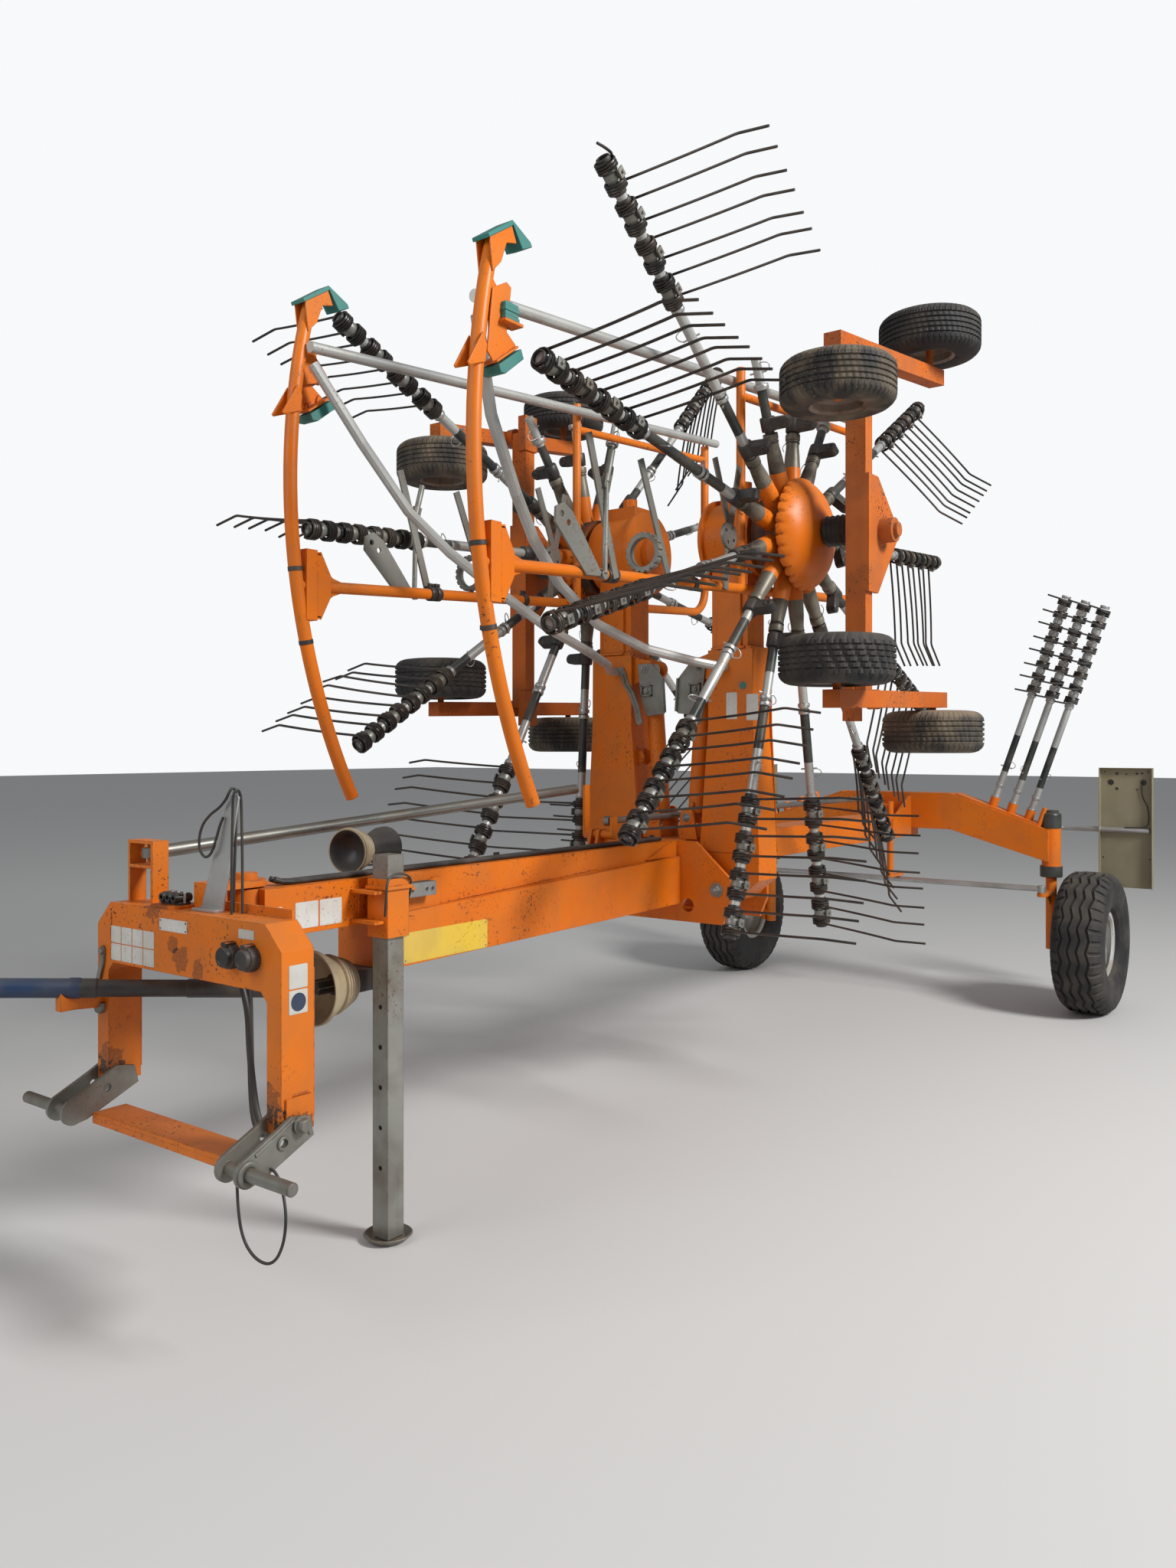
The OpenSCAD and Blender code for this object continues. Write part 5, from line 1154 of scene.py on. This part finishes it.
# rear sheets with their lamps and brackets
lampSheet = {
    "x": -0.442, "y": (1.14, 1.45), "z": (0.715, 1.465), "sheet": 0.004, "flange": 0.042,
    "openings": ((0.064, 1.374, 0.018), (0.253, 1.374, 0.018), (0.1, 1.429, 0.009), (0.1, 1.335, 0.009),
                 (0.216, 1.429, 0.0065), (0.246, 1.431, 0.0065), (0.216, 1.331, 0.005)),
    "cable": ((-0.438, 0.253, 1.374), (-0.43, 0.248, 1.362), (-0.428, 0.243, 1.331), (-0.428, 0.253, 1.276),
              (-0.428, 0.276, 1.228), (-0.426, 0.286, 1.14), (-0.418, 0.268, 1.101), (-0.418, 0.207, 1.0945),
              (-0.418, 0.148, 1.0935)),
    "rivets": ((0.03, 1.44), (0.28, 1.44), (0.155, 1.425), (0.02, 0.9), (0.29, 0.9)),
    "lamps": (((-0.47, 0.08, 1.16), (-0.442, 0.25, 1.26)), ((-0.45, 0.06, 0.85), (-0.442, 0.25, 0.93))),
    "tube": ((-0.085, 0.9, 1.075), (-0.412, 0.9, 1.075), (-0.4265, 0.905, 1.075), (-0.428, 0.92, 1.075),
             (-0.428, 1.43, 1.075)),
    "foot": ((-0.095, 0.87, 1.04), (-0.085, 0.93, 1.11)),
}


def onSheet(side, x, across, z):
    return (x, side * (lampSheet["y"][0] + across), z)


bm = bmesh.new()
back, t, flange = lampSheet["x"], lampSheet["sheet"], lampSheet["x"] + lampSheet["flange"]
(y0, y1), (z0, z1) = lampSheet["y"], lampSheet["z"]
outline = [(back, y0), (flange, y0), (flange, y0 + t), (back + t, y0 + t), (back + t, y1 - t), (flange, y1 - t),
           (flange, y1), (back, y1)]
for side in sides.values():
    addPrism(bm, outline, lambda u, v, w: (u, side * v, w), z0, z1, 0)
    addPrism(bm, [(back, y0), (back + 0.03, y0), (back + 0.03, y1), (back, y1)], lambda u, v, w: (u, side * v, w),
             z1 - 0.004, z1 + 0.0002, 0)
    # round openings: a raised edge, and a black disc in each that paints the shade inside the hole
    for across, z, r in lampSheet["openings"]:
        addLathe(bm, sleeve(r, r + 0.0025, 0.0032, 0.005), onSheet(side, back, across, z), (1, 0, 0), 24, 0)
        addLathe(bm, sleeve(0, r + 0.0003, 0.003, 0.0044), onSheet(side, back, across, z), (1, 0, 0), 24, 1)
    addTube(bm, curved([onSheet(side, *point) for point in lampSheet["cable"]], 4), 0.003, 8, 1)
    for across, z in lampSheet["rivets"]:
        addLathe(bm, [(0, 0.003), (0.0045, 0.003), (0.0045, 0.0056), (0.003, 0.0062), (0, 0.0062)],
                 onSheet(side, back, across, z), (1, 0, 0), 12, 1)
    for (x0, low, foot), (x1, high, top) in lampSheet["lamps"]:
        addBox(bm, onSheet(side, x0 + 0.004, low + 0.004, foot + 0.004),
               onSheet(side, x1, high - 0.004, top - 0.004), 2)
        addBox(bm, onSheet(side, x0 + (x1 - x0) * 0.45, low, foot), onSheet(side, x1 + 0.0002, high, top), 1)
    for share in (0.36, 0.68):
        across = 0.08 + share * 0.17
        addBox(bm, onSheet(side, -0.468, across - 0.002, 1.161), onSheet(side, -0.45, across + 0.002, 1.259), 1)
    addTube(bm, [(x, side * y, z) for x, y, z in lampSheet["tube"]], 0.017, 24, 3)
    low, high = [(x, side * y, z) for x, y, z in lampSheet["foot"]]
    addBox(bm, low, high, 3)
makePiece("lampBoards", bm, "frame", ["khakiPaint", "bellowsRubber", "redGlass", "galvanised"], smooth=30,
          bevel=0.0008, replaced=("lamp_boards",))
print("lamp boards made")


# kingpins: black cap over each tube's top and a black band round its collar
kingpin = {
    "y": 0.96,
    "cap": [(0.0551, 1.1), (0.0585, 1.1), (0.0585, 1.176), (0.057, 1.186), (0.05, 1.1935), (0.044, 1.1945),
            (0.044, 1.2075), (0.04, 1.21), (0, 1.21), (0, 1.2055), (0.0425, 1.2055), (0.0425, 1.1905),
            (0.0551, 1.1905)],
    "band": ring(0.0621, 0.0652, 0.802, 0.868, 0.0007, 0.004),
}
for label, side in sides.items():
    bm = bmesh.new()
    for profile in (kingpin["cap"], kingpin["band"]):
        addLathe(bm, profile, (0, kingpin["y"], 0), (0, 0, 1), 48)
    makePiece("kingpinCap_" + label, bm, "frame", ["greenBlack"], side, bevel=0.0005)
print("kingpins capped")


# clamps of the guards: black rings round the rail, and the rubber block in the upper bracket
guardParts = {
    "y": 0.45, "slope": 3.3, "railFront": (4.6391, 2.19), "clamps": (3.946, 3.912, 3.352), "railR": 0.0222,
    "block": ((4.506, 0.4625, 2.9782), (4.576, 0.5035, 3.036)), "slabs": 4, "blockPin": (0.475, 0.491),
}
railSlope = math.tan(math.radians(guardParts["slope"]))
for label, side in sides.items():
    bm = bmesh.new()
    y, r = guardParts["y"], guardParts["railR"]
    for x in guardParts["clamps"]:
        z = guardParts["railFront"][1] + (guardParts["railFront"][0] - x) * railSlope
        addLathe(bm, ring(r, r + 0.0065, -0.014, 0.014, 0.0015, 0.002), (x, y, z), (-1, 0, railSlope), 40)
        addBox(bm, (x - 0.013, y - 0.007, z + 0.024), (x + 0.013, y + 0.007, z + 0.044))
        addTube(bm, [(x, y - 0.014, z + 0.036), (x, y + 0.014, z + 0.036)], 0.0045, 6)
    makePiece("railClamps_" + label, bm, "lift_" + label, ["blackSteel"], side, bevel=0.0006)
    bm = bmesh.new()
    (x0, y0, z0), (x1, y1, z1) = guardParts["block"]
    slab = (z1 - z0) / guardParts["slabs"]
    for k in range(guardParts["slabs"]):
        inset = 0.0025 if k % 2 else 0.0
        addBox(bm, (x0 + inset, y0 + inset, z0 + slab * k - 0.0002), (x1 - inset, y1 - inset, z0 + slab * (k + 1)))
    addBox(bm, (x0 + 0.02, guardParts["blockPin"][0], z1 - 0.002), (x1 - 0.02, guardParts["blockPin"][1], z1 + 0.008))
    makePiece("railBlock_" + label, bm, "lift_" + label, ["tealRubber"], side, bevel=0.002)
print("guard fittings made")


# pads of the guard tubes: a roof of two rubber slabs on the top end, and a forked bracket with a pad lower down
hoopPads = {
    "y": 0.45, "centre": (2.19, 2.58), "reach": 2.48,
    "roofPlate": ((4.612, 3.123), (4.627, 3.232), (4.52, 3.302), (4.496, 3.25), (4.545, 3.236), (4.572, 3.165)),
    "roofPads": (((4.634, 3.222), (4.64, 3.234), (4.52, 3.318), (4.513, 3.304)),
                 ((4.52, 3.318), (4.513, 3.298), (4.47, 3.238), (4.42, 3.262), (4.428, 3.276))),
    "forkPlates": (((4.612, 3.07), (4.545, 3.108), (4.522, 3.096), (4.545, 2.945), (4.5, 2.915), (4.506, 2.903),
                    (4.606, 2.828), (4.64, 2.86)),
                   ((4.66, 2.915), (4.73, 2.8), (4.722, 2.794), (4.648, 2.822), (4.64, 2.88))),
    "forkPad": ((4.492, 2.902), (4.602, 2.822), (4.592, 2.8), (4.568, 2.802), (4.478, 2.872)),
    "shelf": ((4.606, 2.828), (4.61, 2.834), (4.506, 2.909), (4.502, 2.903)),
    "bolts": ((4.585, 2.85), (4.53, 2.89)), "bands": (2.25, 1.985), "buckle": 0.03,
}


def onGuard(u, v, w):
    return (u, hoopPads["y"] + w, v)


for label, side in sides.items():
    body = "lift_" + label
    bm = bmesh.new()
    addPrism(bm, hoopPads["roofPlate"], onGuard, 0.0255, 0.0315)
    addPrism(bm, hoopPads["roofPlate"], onGuard, -0.0315, -0.0255)
    for outline in hoopPads["forkPlates"]:
        addPrism(bm, outline, onGuard, 0.0255, 0.0315)
    addPrism(bm, hoopPads["forkPlates"][1], onGuard, -0.0315, -0.0255)
    addPrism(bm, hoopPads["shelf"], onGuard, -0.03, 0.046)
    for x, z in hoopPads["bolts"]:
        addTube(bm, [onGuard(x, z, 0.02), onGuard(x - 0.01, z + 0.026, 0.02)], 0.006, 6)
    makePiece("padBrackets_" + label, bm, body, ["orangePaint"], side, bevel=0.001)
    bm = bmesh.new()
    for outline in hoopPads["roofPads"]:
        addPrism(bm, outline, onGuard, -0.036, 0.036)
    addPrism(bm, hoopPads["forkPad"], onGuard, -0.032, 0.048)
    makePiece("guardPads_" + label, bm, body, ["tealRubber"], side, bevel=0.002)
    bm = bmesh.new()
    for z in hoopPads["bands"]:
        rise = z - hoopPads["centre"][1]
        run = math.sqrt(hoopPads["reach"] ** 2 - rise ** 2)
        x, y = hoopPads["centre"][0] + run, hoopPads["y"]
        addLathe(bm, sleeve(0.0253, 0.0268, -0.008, 0.008), (x, y, z), (-rise, 0, run), 36)
        # each band's buckle lies on the same side of its tube
        tab = y - side * hoopPads["buckle"]
        addBox(bm, (x - 0.006, tab - 0.004, z - 0.008), (x + 0.006, tab + 0.004, z + 0.008))
    makePiece("hoopBands_" + label, bm, body, ["blackSteel"], side)
print("guard pads made")


# grey hook that keeps the drive shaft up, on the right leg of the headstock
shaftHook = {
    "face": 5.4205, "thick": 0.007, "footThick": 0.016, "bolt": (-0.412, 0.966),
    "bar": ((-0.4, 0.972), (-0.406, 0.982), (-0.418, 0.982), (-0.425, 0.97), (-0.424, 0.93), (-0.444, 0.88),
            (-0.462, 0.862), (-0.456, 0.846), (-0.438, 0.852), (-0.424, 0.88), (-0.404, 0.93)),
    "foot": ((-0.4, 0.806), (-0.44, 0.806), (-0.446, 0.794), (-0.434, 0.776), (-0.412, 0.772), (-0.398, 0.786)),
}
bm = bmesh.new()
face = shaftHook["face"]
addPrism(bm, shaftHook["bar"], onFront, face, face + shaftHook["thick"], 0)
addPrism(bm, shaftHook["foot"], onFront, face, face + shaftHook["footThick"], 0)
addLathe(bm, [(0, 0.006), (0.011, 0.006), (0.011, 0.012), (0.008, 0.0145), (0, 0.0145)],
         (face, *shaftHook["bolt"]), (1, 0, 0), 6, 1)
makePiece("shaftHook", bm, "headstock", ["castSteel", "wornSteel"], bevel=0.0012)


# perforated tube on the left side of the beam, over the plain packed one
holedTube = {"x": (4.527, 4.7125), "y": (0.0995, 0.1465), "z": (1.0925, 1.1395), "holes": (4.545, 4.572, 4.64)}
bm = bmesh.new()
low, high = zip(holedTube["x"], holedTube["y"], holedTube["z"])
addBox(bm, low, high, 0)
for x in holedTube["holes"]:
    place = (x, high[1], (low[2] + high[2]) / 2)
    addLathe(bm, sleeve(0.0065, 0.0085, 0.0, 0.0012), place, (0, 1, 0), 20, 0)
    # black disc in each hole: painted shade of the tube's inside
    addLathe(bm, sleeve(0, 0.0066, 0.0, 0.0006), place, (0, 1, 0), 20, 1)
# black plate on the open end: painted shade of the tube's inside
addBox(bm, (high[0] - 0.0005, low[1] + 0.004, low[2] + 0.004),
       (high[0] + 0.0004, high[1] - 0.004, high[2] - 0.004), 1)
makePiece("holedTube", bm, "frame", ["wornSteel", "bellowsRubber"], bevel=0.0015)


# black cable looped round the stand's sleeve, and the tie that holds it
standCable = {
    "path": ((4.845, 0.232, 1.06), (4.846, 0.238, 1.12), (4.838, 0.236, 1.168), (4.812, 0.232, 1.188),
             (4.77, 0.23, 1.19), (4.73, 0.226, 1.172), (4.716, 0.214, 1.13), (4.712, 0.19, 1.08),
             (4.706, 0.16, 1.04), (4.7, 0.136, 1.01)),
    "end": ((4.7, 0.136, 1.01), (4.69, 0.128, 0.975), (4.688, 0.1245, 0.93)),
}
bm = bmesh.new()
addTube(bm, curved(standCable["path"], 5), 0.0042, 8)
addTube(bm, curved(standCable["end"], 5), 0.0058, 8)
makePiece("standCable", bm, "frame", ["bellowsRubber"])


# clutter on the headstock's tray: hose clamp with its bolts, and the black hose ends
trayParts = {"place": (5.362, -0.12, 1.1292), "hoses": (-0.03, 0.0, 0.03)}
bm = bmesh.new()
x, y, z = trayParts["place"]
addBox(bm, (x - 0.02, y - 0.048, z), (x + 0.02, y + 0.048, z + 0.008), 0)
for offset in trayParts["hoses"]:
    addLathe(bm, ring(0.0065, 0.014, -0.03, 0.03, 0.001, 0.006), (x, y + offset, z + 0.02), (1, 0, 0), 20, 0)
    addTube(bm, [(x, y + offset + 0.015, z + 0.004), (x, y + offset + 0.015, z + 0.04)], 0.0045, 6, 1)
addBox(bm, (x - 0.014, y - 0.046, z + 0.03), (x + 0.014, y + 0.046, z + 0.035), 0)
makePiece("trayClamp", bm, "headstock", ["bellowsRubber", "wornSteel"], bevel=0.001)


# bosses and rings of the lower link arms, cast like them, and their pins' worn ends
linkArms = {
    "face": 0.4645, "pinEnd": 0.64, "pin": (5.54, 0.5), "eye": (5.43, 0.55), "pivot": (5.372, 0.585),
    "boss": [(0.0185, -0.002), (0.034, -0.002), (0.034, 0.006), (0.031, 0.009), (0.0235, 0.009), (0.0185, 0.006)],
    "end": [(0, -0.004), (0.0172, -0.004), (0.0172, 0.0012), (0.015, 0.0034), (0, 0.0034)],
    "eyeRing": [(0.0125, -0.002), (0.019, -0.002), (0.019, 0.004), (0.0165, 0.006), (0.0125, 0.006)],
    "head": [(0, 0.008), (0.0205, 0.008), (0.0205, 0.024), (0.018, 0.027), (0, 0.027)],
    "rim": ((5.334, 0.552), (5.345, 0.594), (5.398, 0.605), (5.436, 0.584), (5.52, 0.544), (5.516, 0.536),
            (5.432, 0.576), (5.398, 0.596), (5.352, 0.586), (5.343, 0.55)),
}
for label, side in sides.items():
    bm = bmesh.new()
    face = linkArms["face"]
    for (x, z), y, profile, steps, finish in (
            (linkArms["pin"], face, linkArms["boss"], 40, 0),
            (linkArms["pin"], linkArms["pinEnd"], linkArms["end"], 32, 1),
            (linkArms["eye"], face, linkArms["eyeRing"], 28, 0),
            (linkArms["pivot"], face, linkArms["head"], 6, 0),
            (linkArms["pivot"], face, sleeve(0, 0.026, 0.003, 0.0085), 32, 0)):
        addLathe(bm, profile, (x, y, z), (0, 1, 0), steps, finish)
    addPrism(bm, linkArms["rim"], onLeft, face - 0.001, face + 0.003, 0)
    makePiece("linkBosses_" + label, bm, "headstock", ["castSteel", "wornSteel"], side, bevel=0.0008)
print("headstock fittings made")


# transport locks: a plate hung on each cylinder's eye and a bent hook bolted to the arm's flange
lock = {
    "flange": 2.831, "boss": 2.805,
    "plate": ((0.19, 1.992), (0.11, 1.995), (0.04, 1.918), (0.03, 1.764), (0.04, 1.754), (0.128, 1.744),
              (0.142, 1.752), (0.17, 1.83)),
    "lip": ((0.04, 1.918), (0.03, 1.764), (0.037, 1.7635), (0.047, 1.918)),
    # low and high corner of each bar round the window
    "window": ((0.105, 1.838, 0.164, 1.845), (0.105, 1.885, 0.164, 1.892), (0.105, 1.838, 0.112, 1.892),
               (0.157, 1.838, 0.164, 1.892)),
    "hook": ((0.276, 1.985), (0.252, 1.978), (0.226, 1.905), (0.196, 1.86), (0.166, 1.79), (0.146, 1.712),
             (0.158, 1.7), (0.178, 1.708), (0.194, 1.776), (0.222, 1.846), (0.254, 1.893), (0.284, 1.968)),
    "spine": ((0.251, 1.943), (0.24, 1.902), (0.208, 1.856), (0.178, 1.784), (0.164, 1.722), (0.168, 1.722),
              (0.184, 1.782), (0.214, 1.852), (0.246, 1.898), (0.257, 1.941)),
}
for label, side in sides.items():
    bm = bmesh.new()
    front, flange = lock["boss"] + 0.008, lock["flange"]
    addPrism(bm, lock["plate"], onFront, lock["boss"], front)
    addPrism(bm, lock["lip"], onFront, front - 0.001, front + 0.016)
    for u0, v0, u1, v1 in lock["window"]:
        addPrism(bm, [(u0, v0), (u1, v0), (u1, v1), (u0, v1)], onFront, front - 0.001, front + 0.014)
    addPrism(bm, lock["hook"], onFront, flange, flange + 0.009)
    addPrism(bm, lock["spine"], onFront, flange + 0.008, flange + 0.018)
    makePiece("transportLock_" + label, bm, "lift_" + label, ["castSteel"], side, 30, 0.0008)
print("transport locks hung")


# nuts on the arms' pivots, the cylinders' pins and the locks
pinNuts = {
    "frame": [((2.92, 0.31, 0.96), 2.6), ((2.829, 0.095, 1.27), 1.7)],
    "lift": [((2.813, 0.148, 1.97), 1.7), ((2.813, 0.1345, 1.865), 1.3), ((2.84, 0.266, 1.967), 1.2)],
}
for label, side in sides.items():
    for body, spots in pinNuts.items():
        places = [(facing((x, side * y, z), (1, 0, 0)), size) for (x, y, z), size in spots]
        carrier = body if body == "frame" else "lift_" + label
        placeCopies("pinNuts_%s_%s" % (body, label), nutMesh, places, carrier, "wornSteel")
print("nuts placed")


# gussets that run each guard's clamp plate out to its rail
gusset = {
    "cheek": ((4.5655, 2.074), (4.5655, 2.318), (4.548, 2.322), (4.5, 2.236), (4.5, 2.16), (4.548, 2.07)),
    "web": ((4.512, 2.262), (4.512, 2.136), (4.472, 2.166), (4.43, 2.181), (4.392, 2.185), (4.392, 2.2195),
            (4.43, 2.223), (4.472, 2.234)),
    "cheeks": ((0.4235, 0.429), (0.471, 0.4765)), "webs": (0.446, 0.454), "straps": (2.0765, 2.3085),
}
for label, side in sides.items():
    bm = bmesh.new()
    for low, high in gusset["cheeks"]:
        addPrism(bm, gusset["cheek"], onLeft, low, high)
    addPrism(bm, gusset["web"], onLeft, *gusset["webs"])
    for z in gusset["straps"]:
        addBox(bm, (4.548, 0.4235, z), (4.566, 0.4765, z + 0.006))
    makePiece("clampGussets_" + label, bm, "lift_" + label, ["orangePaint"], side, 30, 0.0008)
print("gussets added")


# floor and light
studio = {"floor": (0.58, 0.57, 0.55), "sky": 0.34, "key": 1150, "fill": 170}

floorMesh = bpy.data.meshes.new("floor")
floorMesh.from_pydata([(-60, -60, 0), (60, -60, 0), (60, 60, 0), (-60, 60, 0)], [], [(0, 1, 2, 3)])
floor = bpy.data.objects.new("floor", floorMesh)
bpy.context.scene.collection.objects.link(floor)
floorPaint = bpy.data.materials.new("floorPaint")
floorPaint.use_nodes = True
floorPaint.node_tree.nodes["Principled BSDF"].inputs["Base Color"].default_value = (*studio["floor"], 1)
floorPaint.node_tree.nodes["Principled BSDF"].inputs["Roughness"].default_value = 0.9
floorMesh.materials.append(floorPaint)

world = bpy.data.worlds.new("studio")
bpy.context.scene.world = world
world.use_nodes = True
skyTree = world.node_tree
skyTree.nodes.clear()
sky = addNode(skyTree, "ShaderNodeBackground", {"Color": (0.92, 0.95, 1.0, 1), "Strength": studio["sky"]})
backdrop = addNode(skyTree, "ShaderNodeBackground", {"Color": (0.94, 0.95, 0.96, 1)})
rays = skyTree.nodes.new("ShaderNodeLightPath")
choose = addNode(skyTree, "ShaderNodeMixShader", Fac=rays.outputs["Is Camera Ray"])
skyTree.links.new(sky.outputs["Background"], choose.inputs[1])
skyTree.links.new(backdrop.outputs["Background"], choose.inputs[2])
addNode(skyTree, "ShaderNodeOutputWorld", Surface=choose.outputs["Shader"])


def addLamp(name, place, target, size, power):
    data = bpy.data.lights.new(name, "AREA")
    data.shape = "DISK"
    data.size = size
    data.energy = power
    lamp = bpy.data.objects.new(name, data)
    bpy.context.scene.collection.objects.link(lamp)
    lamp.location = at(*place)
    aim = at(*target) - lamp.location
    lamp.rotation_euler = aim.to_track_quat("-Z", "Y").to_euler()


addLamp("keyLamp", (2.5, 8.5, 7.5), (2.6, 0.0, 1.6), 3.0, studio["key"])
addLamp("fillLamp", (10.5, -1.5, 5.0), (3.0, 0.0, 1.4), 5.0, studio["fill"])
print("studio lit")
